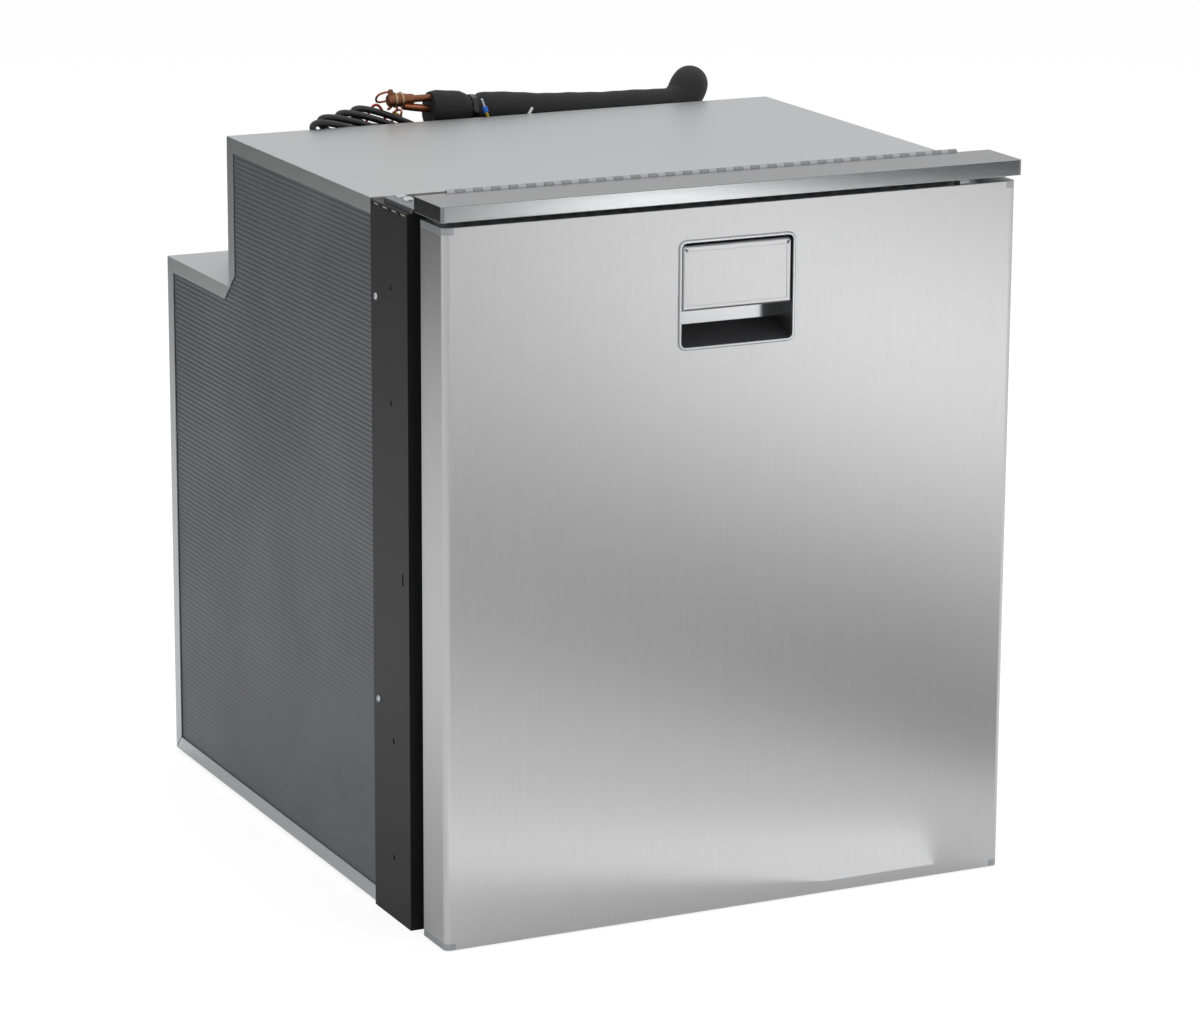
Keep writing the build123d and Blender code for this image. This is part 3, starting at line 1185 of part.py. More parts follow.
def compressor():
    """The sealed oval can with its welded seam and three pipe stubs."""
    steps = [
        (0, 1 - COMPRESSOR_DOME / COMPRESSOR_WIDTH),
        (COMPRESSOR_DOME / 3, 1),
        (COMPRESSOR_HEIGHT - COMPRESSOR_DOME, 1),
        (COMPRESSOR_HEIGHT - COMPRESSOR_DOME / 3, SHOULDER_SHARE),
        (COMPRESSOR_HEIGHT, CROWN_SHARE),
    ]
    can = faced_body([can_ring(share, 0, level) for level, share in steps])
    seam = can_ring(1, SEAM_PROUD, COMPRESSOR_HEIGHT * SEAM_SHARE)
    can += prism(seam, (0, 0, 1), SEAM_HEIGHT)
    can += bar((DISCHARGE_X, COMPRESSOR_Y, DISCHARGE_Z), (0, -1, 0), STUB_RADIUS, DISCHARGE_REACH, TUBE_SIDES)
    can += bar((SUCTION_STUB_X, COMPRESSOR_Y - 14, CAN_TOP - 30), (0, 0, 1), STUB_RADIUS, 24, TUBE_SIDES)
    right = COMPRESSOR_X + COMPRESSOR_LENGTH / 2
    return can + bar((right - 8, COMPRESSOR_Y, CAN_BASE + 34), (1, 0, 0), STUB_RADIUS, 20, TUBE_SIDES)


def compressor_base():
    """The steel plate under the can, resting on the rubber feet."""
    plan = Rectangle(2 * (GROMMET_X + GROMMET_RADIUS), 2 * (GROMMET_Y + GROMMET_RADIUS))
    plan = Pos(COMPRESSOR_X, COMPRESSOR_Y, CAN_BASE - BASE_SHEET) * chamfer(plan.vertices(), GROMMET_RADIUS)
    plate = extrude(plan, amount=BASE_SHEET)
    below = CAN_BASE - BASE_SHEET - 1
    for x, y in foot_places():
        plate -= bar((x, y, below), (0, 0, 1), GROMMET_NECK, BASE_SHEET + 2, TUBE_SIDES)
    return plate


def foot_places():
    """The places of the four rubber feet."""
    xs = (COMPRESSOR_X - GROMMET_X, COMPRESSOR_X + GROMMET_X)
    ys = (COMPRESSOR_Y - GROMMET_Y, COMPRESSOR_Y + GROMMET_Y)
    return [(x, y) for x in xs for y in ys]


def compressor_feet():
    """Four rubber grommets with a collar under the plate and a neck through it."""
    feet = []
    for x, y in foot_places():
        floor = (x, y, STEP_FLOOR)
        collar = bar(floor, (0, 0, 1), GROMMET_RADIUS, COMPRESSOR_LIFT - BASE_SHEET, 2 * TUBE_SIDES)
        feet.append(collar + bar(floor, (0, 0, 1), GROMMET_NECK, COMPRESSOR_LIFT + GROMMET_TIP, TUBE_SIDES))
    return feet


def electronic_unit():
    """The compressor's electronic unit: a closed box with cooling fins at the rear and the lead's gland."""
    back = UNIT_FRONT_Y + UNIT_DEPTH - UNIT_FIN_HEIGHT
    body = block(UNIT_X, (UNIT_FRONT_Y, back), (STEP_FLOOR, UNIT_TOP))
    fin_area = (UNIT_X[0] + 3, UNIT_X[1] - 3)
    pitch = (fin_area[1] - fin_area[0] - UNIT_FIN_THICKNESS) / (UNIT_FIN_COUNT - 1)
    fin_zs = (STEP_FLOOR + UNIT_FIN_MARGIN, UNIT_TOP - UNIT_FIN_MARGIN)
    for index in range(UNIT_FIN_COUNT):
        x = fin_area[0] + index * pitch
        body += block((x, x + UNIT_FIN_THICKNESS), (back - 1, back + UNIT_FIN_HEIGHT), fin_zs)
    x, set_back = LEAD_GLAND
    foot = (x, RECESS_Y + set_back, UNIT_TOP)
    return body + bar(foot, (0, 0, 1), GLAND_RADIUS, GLAND_HEIGHT, 2 * TUBE_SIDES)


def condenser():
    """The condenser block: a row of upright fins on both sides of its tube wall."""
    middle = (CONDENSER_X[0] + CONDENSER_X[1]) / 2
    half_web = CONDENSER_WEB / 2
    count = int(CONDENSER_LENGTH / CONDENSER_FIN_PITCH)
    pitch = (CONDENSER_LENGTH - CONDENSER_FIN) / count
    starts = [CONDENSER_YS[0] + index * pitch for index in range(count + 1)]
    right = []
    for y in starts:
        tips = (y, y + CONDENSER_FIN)
        right += [(middle + half_web, tips[0]), (CONDENSER_X[1], tips[0])]
        right += [(CONDENSER_X[1], tips[1]), (middle + half_web, tips[1])]
    comb = right[1:-1] + [(2 * middle - x, y) for x, y in reversed(right[1:-1])]
    return prism([(x, y, CONDENSER_ZS[0]) for x, y in comb], (0, 0, 1), CONDENSER_HEIGHT)


def condenser_tubes():
    """The return bends at the condenser's front end."""
    middle = (CONDENSER_X[0] + CONDENSER_X[1]) / 2
    front = CONDENSER_YS[0]
    bends = []
    spacing = CONDENSER_HEIGHT / (2 * CONDENSER_TUBE_ROWS + 1)
    tip = front - RETURN_BEND_REACH
    for index in range(CONDENSER_TUBE_ROWS):
        low = CONDENSER_ZS[0] + spacing * (2 * index + 1)
        high = low + spacing
        points = [(middle, front, low), (middle, tip, low), (middle, tip, high), (middle, front, high)]
        bends.append(pipe(points, spacing * 0.48, CONDENSER_TUBE_RADIUS))
    return bends


def fan_housing():
    """The square fan frame with its round duct, four struts and the motor boss."""
    half = FAN_SIZE / 2
    frame = block(FAN_X, (FAN_Y - half, FAN_Y + half), (FAN_Z - half, FAN_Z + half))
    frame = chamfer(frame.edges().filter_by(Axis.X), 3)
    duct = rod((FAN_X[0] - 1, FAN_Y, FAN_Z), (1, 0, 0), FAN_BORE, FAN_DEPTH + 2)
    frame -= duct
    strut_xs = (FAN_X[1] - FAN_STRUT_DEPTH, FAN_X[1])
    long_half = FAN_BORE + 1
    short_half = FAN_STRUT / 2
    cross = block(strut_xs, (FAN_Y - long_half, FAN_Y + long_half), (FAN_Z - short_half, FAN_Z + short_half))
    cross += block(strut_xs, (FAN_Y - short_half, FAN_Y + short_half), (FAN_Z - long_half, FAN_Z + long_half))
    boss = bar((strut_xs[0], FAN_Y, FAN_Z), (1, 0, 0), FAN_HUB, FAN_STRUT_DEPTH, 2 * FAN_BLADES)
    start = (strut_xs[0] - FAN_SPINDLE_LENGTH, FAN_Y, FAN_Z)
    return frame + cross + boss + rod(start, (1, 0, 0), FAN_SPINDLE, FAN_SPINDLE_LENGTH + 1)


def fan_rotor():
    """The fan's hub and its pitched blades."""
    start = FAN_X[0] + 2
    length = FAN_X[1] - FAN_STRUT_DEPTH - SEAT_CLEARANCE - start
    hub = bar((start, FAN_Y, FAN_Z), (1, 0, 0), FAN_HUB, length, 2 * FAN_BLADES)
    blade_length = FAN_BORE - FAN_TIP_CLEARANCE - FAN_HUB
    root = FAN_HUB - 3
    blade = Rot(0, 0, FAN_PITCH) * Box(FAN_BLADE, FAN_CHORD, blade_length)
    blade = Pos(0, 0, root + blade_length / 2) * blade
    blades = [
        Pos(start + length / 2, FAN_Y, FAN_Z) * Rot(360 / FAN_BLADES * index, 0, 0) * blade
        for index in range(FAN_BLADES)
    ]
    bore_start = FAN_X[1] - FAN_STRUT_DEPTH - FAN_SPINDLE_LENGTH - SEAT_CLEARANCE
    bore = rod((bore_start, FAN_Y, FAN_Z), (1, 0, 0), FAN_SPINDLE + KNOB_SPINDLE_CLEARANCE, FAN_DEPTH)
    return hub + blades - bore


def filter_drier():
    """The copper filter drier: a round body drawn in to a neck at both ends."""
    low, high = DRIER_Z
    profile = [
        (DRIER_NECK, low),
        (DRIER_NECK, low + DRIER_CONE / 2),
        (DRIER_RADIUS, low + 2 * DRIER_CONE),
        (DRIER_RADIUS, high - 2 * DRIER_CONE),
        (DRIER_NECK, high - DRIER_CONE / 2),
        (DRIER_NECK, high),
    ]
    sides = 2 * TUBE_SIDES
    rings = [polygon_ring(Plane(origin=(DRIER_X, DRIER_Y, z)), size, sides) for size, z in profile]
    return faced_body(rings)


def condenser_pipes():
    """The discharge pipe from the compressor to the condenser and the liquid pipe on to the drier."""
    middle = (CONDENSER_X[0] + CONDENSER_X[1]) / 2
    front = CONDENSER_YS[0]
    wall = RECESS_Y + PIPE_FROM_WALL
    discharge = pipe(
        [
            (DISCHARGE_X, COMPRESSOR_Y - DISCHARGE_REACH, DISCHARGE_Z),
            (DISCHARGE_X, wall, DISCHARGE_Z),
            (middle + 10, wall, DISCHARGE_Z),
            (middle + 10, front, DISCHARGE_Z),
        ],
        12,
        CONDENSER_TUBE_RADIUS,
    )
    low = STEP_FLOOR + 7
    liquid = pipe(
        [
            (middle, front, low),
            (middle, wall, low),
            (UNIT_X[1] + 9, wall, low),
            (UNIT_X[1] + 9, DRIER_Y - 14, low),
            (DRIER_X, DRIER_Y, low),
            (DRIER_X, DRIER_Y, DRIER_Z[0]),
        ],
        9,
        CONDENSER_TUBE_RADIUS * 0.8,
    )
    return [discharge, liquid]


def sleeve_straight():
    """The left end of the foam sleeve, drawn in where the tie holds it."""
    start = Vector(SLEEVE_END[0], SLEEVE_Y, SLEEVE_END[1])
    end = Vector(SLEEVE_JOIN[0], SLEEVE_Y, SLEEVE_JOIN[1])
    length = (end - start).length
    neck = SLEEVE_NECK_FROM_END
    soft = 9.0
    flat = TIE_WIDTH / 2 + 1.2
    steps = [(SLEEVE_RADIUS, 0), (SLEEVE_RADIUS, neck - soft), (SLEEVE_NECK, neck - flat)]
    steps += [(SLEEVE_NECK, neck + flat), (SLEEVE_RADIUS, neck + soft), (SLEEVE_RADIUS, length)]
    plane = sleeve_section(start, end - start)
    rings = [polygon_ring(plane.offset(place), size, SLEEVE_SIDES) for size, place in steps]
    return faced_body(rings) - extrude(plane * RegularPolygon(SLEEVE_BORE, TUBE_SIDES), amount=length)


def sleeve_section(start, direction):
    """The plane of a section of the sleeve, turned as the swept tube turns its own."""
    return Plane(origin=start, z_dir=direction)


def sleeve_slope():
    """The fall of the sleeve's straight end along the appliance."""
    return (SLEEVE_JOIN[1] - SLEEVE_END[1]) / (SLEEVE_JOIN[0] - SLEEVE_END[0])


def sleeve_route():
    """The sleeve's route on from its straight end: over a crest, down, and to the hole in the rear wall."""
    x, z = WALL_PASS
    slope = sleeve_slope()
    return [
        (SLEEVE_JOIN[0], SLEEVE_Y, SLEEVE_JOIN[1]),
        (SLEEVE_JOIN[0] + SLEEVE_RUN, SLEEVE_Y, SLEEVE_JOIN[1] + SLEEVE_RUN * slope),
        (SLEEVE_CREST[0] - SLEEVE_RUN, SLEEVE_Y, SLEEVE_CREST[2] - SLEEVE_CLIMB),
        (SLEEVE_CREST[0], SLEEVE_Y + SLEEVE_CREST[1], SLEEVE_CREST[2]),
        (SLEEVE_DROP[0], SLEEVE_Y + SLEEVE_DROP[1], SLEEVE_DROP[2]),
        (x, RECESS_Y + SLEEVE_ENTRY, z),
        (x, RECESS_Y, z),
    ]


def suction_sleeve():
    """The black foam sleeve over the suction pipe, with a hole for the joint's pipe in its left end."""
    route = sleeve_route()
    radii = corner_radii(route)
    outer = flat_tube(route, radii, SLEEVE_RADIUS, SLEEVE_SIDES)
    inner = flat_tube(route, radii, SLEEVE_BORE, TUBE_SIDES)
    before_end = (SLEEVE_END[0] - 3, SLEEVE_Y, JOINT_Z)
    entry = bar(before_end, (1, 0, 0), JOINT_PIPE_RADIUS, JOINT_PIPE_ENTRY + 3, TUBE_SIDES)
    return sleeve_straight() + (outer - inner) - entry


def suction_line():
    """The copper suction pipe: from the joint through the sleeve and the wall to the evaporator."""
    route = sleeve_route()
    x, z = WALL_PASS
    half = EVAPORATOR_WIDTH / 2
    plate_y = CAVITY_BACK - LINER - EVAPORATOR_STANDOFF / 2
    slope = sleeve_slope()
    bend = (SLEEVE_END[0] - 6, SLEEVE_Y, SLEEVE_END[1] - 6 * slope)
    return pipe(
        [JOINT_BRANCH, bend] + route[1:-1] + [(x, plate_y, z), (half - 10, plate_y, z)], 1000, SUCTION_RADIUS
    )


def line_joint():
    """The brazed joint body with two rings, the charging nub and the pipe into the sleeve."""
    start, end = JOINT_X
    sides = 2 * TUBE_SIDES
    body = bar((start, SLEEVE_Y, JOINT_Z), (1, 0, 0), JOINT_RADIUS, end - start, sides)
    for x in (start + 5, start + 10.5):
        body += bar((x, SLEEVE_Y, JOINT_Z), (1, 0, 0), JOINT_RADIUS + 0.9, 2.2, sides)
    radius, height = JOINT_NUB
    body += bar((start + 2.6, SLEEVE_Y, JOINT_Z), (0, 0, 1), radius, height, TUBE_SIDES)
    reach = SLEEVE_END[0] + JOINT_PIPE_ENTRY - end
    body += bar((end - 1, SLEEVE_Y, JOINT_Z), (1, 0, 0), JOINT_PIPE_RADIUS, reach + 1, TUBE_SIDES)
    bend = Vector(SLEEVE_END[0] - 6, SLEEVE_Y, SLEEVE_END[1] - 6 * sleeve_slope())
    return body - bar(JOINT_BRANCH, bend - Vector(*JOINT_BRANCH), SUCTION_RADIUS, 12, TUBE_SIDES)


def sleeve_tie():
    """The cable tie round the sleeve's neck, with its head and the cut tail."""
    start = Vector(SLEEVE_END[0], SLEEVE_Y, SLEEVE_END[1])
    along = (Vector(SLEEVE_JOIN[0], SLEEVE_Y, SLEEVE_JOIN[1]) - start).normalized()
    plane = sleeve_section(start, along).offset(SLEEVE_NECK_FROM_END - TIE_WIDTH / 2)
    outer = SLEEVE_NECK + TIE_BAND
    band = extrude(plane * RegularPolygon(outer, SLEEVE_SIDES), amount=TIE_WIDTH)
    head = plane * Pos(-outer - 1, 0, TIE_WIDTH / 2) * Box(3.4, 6.5, TIE_WIDTH + 1.6)
    tail = plane * Pos(-outer - 2, -5.5, TIE_WIDTH / 2) * Box(1.1, 8, TIE_WIDTH - 0.8)
    room = extrude(plane.offset(-TIE_WIDTH) * RegularPolygon(SLEEVE_NECK, SLEEVE_SIDES), amount=3 * TIE_WIDTH)
    return band + head + tail - room


def capillary_route():
    """The capillary's route: from the nub to its small coil and on to the filter drier."""
    y = SLEEVE_Y + CAPILLARY_SET_BACK
    start, end = (Vector(x, y, z) for x, z in (CAPILLARY_COIL_START, CAPILLARY_COIL_END))
    axis = (end - start).normalized()
    across = Vector(0, 1, 0)
    upward = across.cross(axis).normalized()
    advance = (end - start) * (1 / (4 * CAPILLARY_TURNS))
    nub_x = JOINT_X[0] + 2.6 - JOINT_NUB[0]
    points = [
        Vector(nub_x - 0.2, SLEEVE_Y, JOINT_Z + JOINT_NUB[1] - 2),
        Vector(nub_x - 8, SLEEVE_Y + 3, JOINT_Z + JOINT_NUB[1] - 3),
        Vector(nub_x - 8, SLEEVE_Y + 9, JOINT_Z - 3),
    ]
    for index in range(4 * CAPILLARY_TURNS):
        angle = math.pi / 4 + index * math.pi / 2
        spread = CAPILLARY_COIL_HALF * math.sqrt(2)
        offset = across * (spread * math.cos(angle)) + upward * (-spread * math.sin(angle))
        points.append(start + advance * index + offset)
    points += [
        Vector(DRIER_X, SLEEVE_Y + 32, UNIT_TOP + 8),
        Vector(DRIER_X, DRIER_Y - 12, UNIT_TOP + 7),
        Vector(DRIER_X, DRIER_Y, UNIT_TOP + 4),
        Vector(DRIER_X, DRIER_Y, DRIER_Z[1]),
    ]
    return [tuple(point) for point in points]


def capillary_tube():
    """The thin copper capillary, coiled once beside the joint."""
    route = capillary_route()
    radii = corner_radii(route)
    path = FilletPolyline(*route, radius=radii)
    print("capillary: least space between its turns", round(self_gap(path, 2 * CAPILLARY_RADIUS), 2))
    return flat_tube(route, radii, CAPILLARY_RADIUS, THIN_SIDES)


def hank_corners(index):
    """The four corners of one loop of the hank as two pairs, upper and lower, each from left to right."""
    y = RECESS_Y + HANK_FROM_WALL + LEAD_RADIUS + (index + 1) * HANK_STEP_Y
    left = Vector(HANK_LEFT[0] + index * HANK_STEP[0], y, HANK_LEFT[1] + index * HANK_STEP[1])
    right_z = UNIT_TOP + HANK_REST + HANK_HALF + LEAD_RADIUS
    drop = left.Z - right_z
    right = left + Vector(math.sqrt(HANK_LENGTH**2 - drop**2), 0, -drop)
    along = (right - left).normalized()
    upward = Vector(0, 1, 0).cross(along) * -1
    lift_by = upward * HANK_HALF
    reach = along * HANK_HALF
    upper = (left + lift_by - reach, right + lift_by + reach)
    lower = (left - lift_by - reach, right - lift_by + reach)
    return upper, lower


def lead_route():
    """The supply lead's route: gland, the hank from its rear loop to the wall, then off to the right."""
    x, set_back = LEAD_GLAND
    y = RECESS_Y + set_back
    last = HANK_LOOPS - 1
    lower_left, lower_right = hank_corners(last)[1]
    onto = lower_left + (lower_right - lower_left) * LEAD_ONTO_SHARE
    gland_top = UNIT_TOP + GLAND_HEIGHT
    points = [Vector(x, y, gland_top), Vector(x, y, gland_top + LEAD_POST), onto]
    for index in range(last, -1, -1):
        lower_right, upper_right = (corners[1] for corners in reversed(hank_corners(index)))
        upper_left, lower_left = (corners[0] for corners in hank_corners(max(index - 1, 0)))
        leave = Vector(*LEAD_LEAVE) if index == 0 else Vector(0, 0, 0)
        shift = Vector(0, -HANK_SHIFT_SHARE * HANK_STEP_Y, 0)
        points += [lower_right, upper_right + shift, upper_left + leave, lower_left + leave]
    wall_y = RECESS_Y + HANK_FROM_WALL + LEAD_RADIUS
    points += [
        Vector(UNIT_X[1] - 52, wall_y, UNIT_TOP - 22),
        Vector(UNIT_X[1] + 10, wall_y, UNIT_TOP - 30),
        Vector(LEAD_END_X, wall_y + 1, LEAD_END_Z - 12),
        Vector(LEAD_END_X, wall_y + 1, LEAD_END_Z),
    ]
    return [tuple(point) for point in points]


def supply_lead():
    """The whole supply lead as one tube, with a faceted section."""
    route = lead_route()
    radii = [min(radius, LEAD_WIDEST_BEND) for radius in corner_radii(route)]
    print("supply lead: radii at its corners", [round(radius, 1) for radius in radii])
    tube, path = swept_tube(route, radii, LEAD_RADIUS, LEAD_SIDES)
    print("supply lead: length", round(path.length), "radius", LEAD_RADIUS)
    print("supply lead: least space between its turns", round(self_gap(path, LEAD_DIAMETER), 2))
    return tube


def lead_cores():
    """The three bare cores at the lead's end, one with a ferrule and its pin."""
    y = RECESS_Y + HANK_FROM_WALL + LEAD_RADIUS + 1
    start = Vector(LEAD_END_X, y, LEAD_END_Z)
    cores = []
    for index, (across, rise) in enumerate(CORE_TIPS):
        side = (index - 1) * 1.4
        tip = start + Vector(across, -1.4, rise)
        route = [
            tuple(start + Vector(side, 0, 0)),
            tuple(start + Vector(side, 0, 6)),
            tuple(start + Vector(across * 0.75, -0.7, rise * 0.55)),
            tuple(tip),
        ]
        radii = [min(CORE_BEND, limit) for limit in corner_radii(route)]
        core = swept_tube(route, radii, CORE_RADIUS, THIN_SIDES)[0]
        if index == 0:
            direction = tip - Vector(*route[2])
            end = tip + direction.normalized() * FERRULE_LENGTH
            core += bar(tip, direction, FERRULE_RADIUS, FERRULE_LENGTH, 2 * THIN_SIDES)
            core += bar(end, direction, FERRULE_PIN_RADIUS, FERRULE_PIN_LENGTH, THIN_SIDES)
        cores.append(core)
    return cores


def unit_wires():
    """Two thin wires that arch over the electronic unit's top."""
    arch = [(-43, 0), (-43, 22), (-33, 38), (-23, 22), (-23, 0)]
    low = [(-17, 0), (-17, 14), (-11, 27), (-5, 14), (-5, 0)]
    wires = []
    for outline, y in ((arch, RECESS_Y + 47), (low, RECESS_Y + 56)):
        wires.append(pipe([(UNIT_X[1] + x, y, UNIT_TOP + z) for x, z in outline], 9, CORE_RADIUS, THIN_SIDES))
    return wires


def rear_pads():
    """Two rubber pads under the rear of the cabinet."""
    width, depth = PAD_SIZE
    y = REAR_Y - PAD_FROM_REAR
    right = block(
        (PAD_X - width / 2, PAD_X + width / 2), (y - depth / 2, y + depth / 2), (0, CABINET_BASE)
    )
    return pair(right)


def all_nodes():
    """Every node of the appliance by its name, each a shape or a list of shapes."""
    outer_slide, middle_slide, inner_slide = slide_members()
    brace = drawer_brace()
    side = ribbed_side()
    bracket = hinge_bracket()
    lower_floor = BRACE_BASE + BRACE_SHEET + SEAT_CLEARANCE / 2
    upper_floor = BRACE_ARM_Z[1] + SEAT_CLEARANCE / 2

    return {
        "foam_core": insulation(),
        "cabinet_wrap": cabinet_wrap(),
        "side_panel_left": mirror(side, about=Plane.YZ),
        "side_panel_right": side,
        "inner_liner": inner_liner(),
        "mounting_frame": mounting_frame(),
        "frame_screws": frame_screws(),
        "latch_cup": latch_cup(),
        "hinge_bracket_left": mirror(bracket, about=Plane.YZ),
        "hinge_bracket_right": bracket,
        "bracket_screws": bracket_screws(),
        "flap_stops": flap_stops(),
        "hinge_fixed_leaf": hinge_fixed_leaf(),
        "hinge_pin": hinge_pin(),
        "hinge_moving_leaf": hinge_moving_leaf(),
        "top_flap": top_flap(),
        "rear_pads": rear_pads(),
        "evaporator_plate": evaporator(),
        "thermostat_housing": thermostat_housing(),
        "thermostat_knob": thermostat_knob(),
        "lamp_lens": lamp_lens(),
        "compressor": compressor(),
        "compressor_base": compressor_base(),
        "compressor_feet": compressor_feet(),
        "electronic_unit": electronic_unit(),
        "condenser": condenser(),
        "condenser_bends": condenser_tubes(),
        "condenser_pipes": condenser_pipes(),
        "fan_housing": fan_housing(),
        "fan_rotor": fan_rotor(),
        "filter_drier": filter_drier(),
        "suction_sleeve": suction_sleeve(),
        "suction_line": suction_line(),
        "sleeve_tie": sleeve_tie(),
        "line_joint": line_joint(),
        "capillary_tube": capillary_tube(),
        "supply_lead": supply_lead(),
        "lead_cores": lead_cores(),
        "unit_wires": unit_wires(),
        "slide_outer_left": mirror(outer_slide, about=Plane.YZ),
        "slide_outer_right": outer_slide,
        "slide_middle_left": mirror(middle_slide, about=Plane.YZ),
        "slide_middle_right": middle_slide,
        "slide_inner_left": mirror(inner_slide, about=Plane.YZ),
        "slide_inner_right": inner_slide,
        "drawer_bracket_left": mirror(brace, about=Plane.YZ),
        "drawer_bracket_right": brace,
        "lower_basket": basket(lower_floor, LOWER_BASKET_HEIGHT, LOWER_BASKET_LENGTH),
        "upper_basket": basket(upper_floor, UPPER_BASKET_HEIGHT, UPPER_BASKET_LENGTH),
        "front_skin": front_skin(),
        "end_cap_top": end_cap_top(),
        "end_cap_bottom": end_cap_bottom(),
        "door_foam": door_foam(),
        "door_liner": door_liner(),
        "door_gasket": door_gasket(),
        "handle_bezel": handle_bezel(),
        "handle_tray": handle_tray(),
        "paddle_pin": paddle_pin(),
        "handle_paddle": handle_paddle(),
        "latch_bolt": latch_bolt(),
    }


def main():
    """Writes one STEP file for each node and prints its solids and volume."""
    os.makedirs("parts", exist_ok=True)
    for name, shape in all_nodes().items():
        if isinstance(shape, (list, tuple)):
            shape = Compound(children=list(shape))
        solids = shape.solids()
        print(name, len(solids), "solids", round(sum(solid.volume for solid in solids)))
        export_step(shape, f"parts/{name}.step")


if __name__ == "__main__":
    main()
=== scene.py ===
"""Looks of a built-in drawer refrigerator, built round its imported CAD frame.

Points are in metres, in the frame's own axes. Sizes that the classes hold are in millimetres.
"""

import logging
import math
from dataclasses import dataclass, field
from enum import Enum

import bmesh
import bpy
from mathutils import Euler, Matrix, Vector


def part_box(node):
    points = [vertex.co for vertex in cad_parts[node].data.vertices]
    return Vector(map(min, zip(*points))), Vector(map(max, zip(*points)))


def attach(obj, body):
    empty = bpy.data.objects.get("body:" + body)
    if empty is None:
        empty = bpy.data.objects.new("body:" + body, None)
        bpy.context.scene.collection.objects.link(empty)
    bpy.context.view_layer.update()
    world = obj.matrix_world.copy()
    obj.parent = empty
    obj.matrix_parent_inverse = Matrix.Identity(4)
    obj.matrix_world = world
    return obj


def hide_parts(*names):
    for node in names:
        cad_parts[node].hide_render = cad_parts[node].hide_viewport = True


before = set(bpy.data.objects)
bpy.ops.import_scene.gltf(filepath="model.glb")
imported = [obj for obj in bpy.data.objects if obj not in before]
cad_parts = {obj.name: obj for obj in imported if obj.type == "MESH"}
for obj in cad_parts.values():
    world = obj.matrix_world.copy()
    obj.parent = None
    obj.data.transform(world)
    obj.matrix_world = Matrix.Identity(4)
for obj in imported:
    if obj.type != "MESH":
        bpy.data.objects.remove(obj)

logging.basicConfig(level=logging.INFO, format="%(message)s")
LOG = logging.getLogger("drawer_refrigerator")

MM = 0.001
RIGHT = Vector((1, 0, 0))
FRONT = Vector((0, -1, 0))
BACK = Vector((0, 1, 0))
UP = Vector((0, 0, 1))

# Points nearer to each other than this are one point
SAME_POINT = 0.002 * MM
# Faces whose middles are nearer to a plane than this lie in it
SAME_PLANE = 0.01 * MM
# Faces that turn less than this from each other are one flat face
FLAT_ANGLE = math.radians(0.4)
# A turned piece that runs to a point still ends in a radius, in millimetres
SMALLEST_RADIUS = 0.01
# Edges of tubes and of turned pieces that turn more than this stay sharp, in degrees
TUBE_SHARP, TURNED_SHARP = 50, 40

Point = tuple[float, float, float]
Pairs = tuple[tuple[float, float], ...]


def linear(code: str, alpha: float = 1.0) -> tuple[float, float, float, float]:
    """Turns an sRGB hex colour into linear values.

    Args:
        code: Six hex digits.
        alpha: The opacity that goes with the colour.

    Returns:
        Red, green, blue and alpha.
    """
    values = [int(code[index : index + 2], 16) / 255 for index in (0, 2, 4)]
    red, green, blue = (v / 12.92 if v <= 0.04045 else ((v + 0.055) / 1.055) ** 2.4 for v in values)
    return (red, green, blue, alpha)


def add_node(
    tree: bpy.types.NodeTree,
    kind: str,
    settings: dict[str, object] | None = None,
    links: dict[str | int, bpy.types.NodeSocket] | None = None,
    **inputs: object,
) -> bpy.types.Node:
    """Adds one node, sets it up and links what feeds it.

    Args:
        tree: The node tree.
        kind: The node's type name.
        settings: Properties of the node.
        links: Input socket name to the output socket that feeds it.
        **inputs: Input socket name, with spaces as underscores, to its value.

    Returns:
        The new node.
    """
    node = tree.nodes.new(kind)
    for name, value in (settings or {}).items():
        setattr(node, name, value)
    for name, value in inputs.items():
        node.inputs[name.replace("_", " ")].default_value = value
    for name, source in (links or {}).items():
        tree.links.new(source, node.inputs[name])
    return node


class Grain(Enum):
    """How a surface is finished."""

    PLAIN = "plain"
    BRUSH_UP = "brushed up and down"
    BRUSH_ALONG = "brushed from side to side"
    ROLLED = "rolled sheet"
    POWDER = "powder coat"
    MOULDED = "fine moulded texture"
    CELLS = "foam cells"
    CLOUDED = "lacquered before the ribs were rolled in"


@dataclass(frozen=True)
class Texture:
    """The noise that draws a fine surface: its stretch, fineness, change of tone and relief."""

    stretch: Point
    grains_per_mm: float
    tone: float
    relief: float


# Real brush marks, rolling marks, powder, moulded grain and foam cells are 0.05 to 0.5 mm across. That is too fine to
# show, so they are drawn as coarse as they need to show.
TEXTURES = {
    Grain.BRUSH_UP: Texture(stretch=(1.0, 1.0, 0.012), grains_per_mm=2.6, tone=0.10, relief=0.25),
    Grain.BRUSH_ALONG: Texture(stretch=(0.012, 1.0, 1.0), grains_per_mm=2.6, tone=0.10, relief=0.25),
    Grain.ROLLED: Texture(stretch=(1.0, 0.2, 1.0), grains_per_mm=0.9, tone=0.03, relief=0.08),
    Grain.POWDER: Texture(stretch=(1.0, 1.0, 1.0), grains_per_mm=2.2, tone=0.12, relief=0.5),
    Grain.MOULDED: Texture(stretch=(1.0, 1.0, 1.0), grains_per_mm=3.0, tone=0.05, relief=0.35),
    Grain.CELLS: Texture(stretch=(1.0, 1.0, 1.0), grains_per_mm=0.7, tone=0.10, relief=0.9),
}
RELIEF_DEPTH = 0.02 * MM
# How much smoother and rougher than its finish a textured surface gets
SMOOTHER, ROUGHER = 0.04, 0.05

# Clouds in the dark lacquer are about 110 mm across
CLOUDS_PER_METRE = 9.0
CLOUD_DARK, CLOUD_LIGHT = 0.68, 1.12


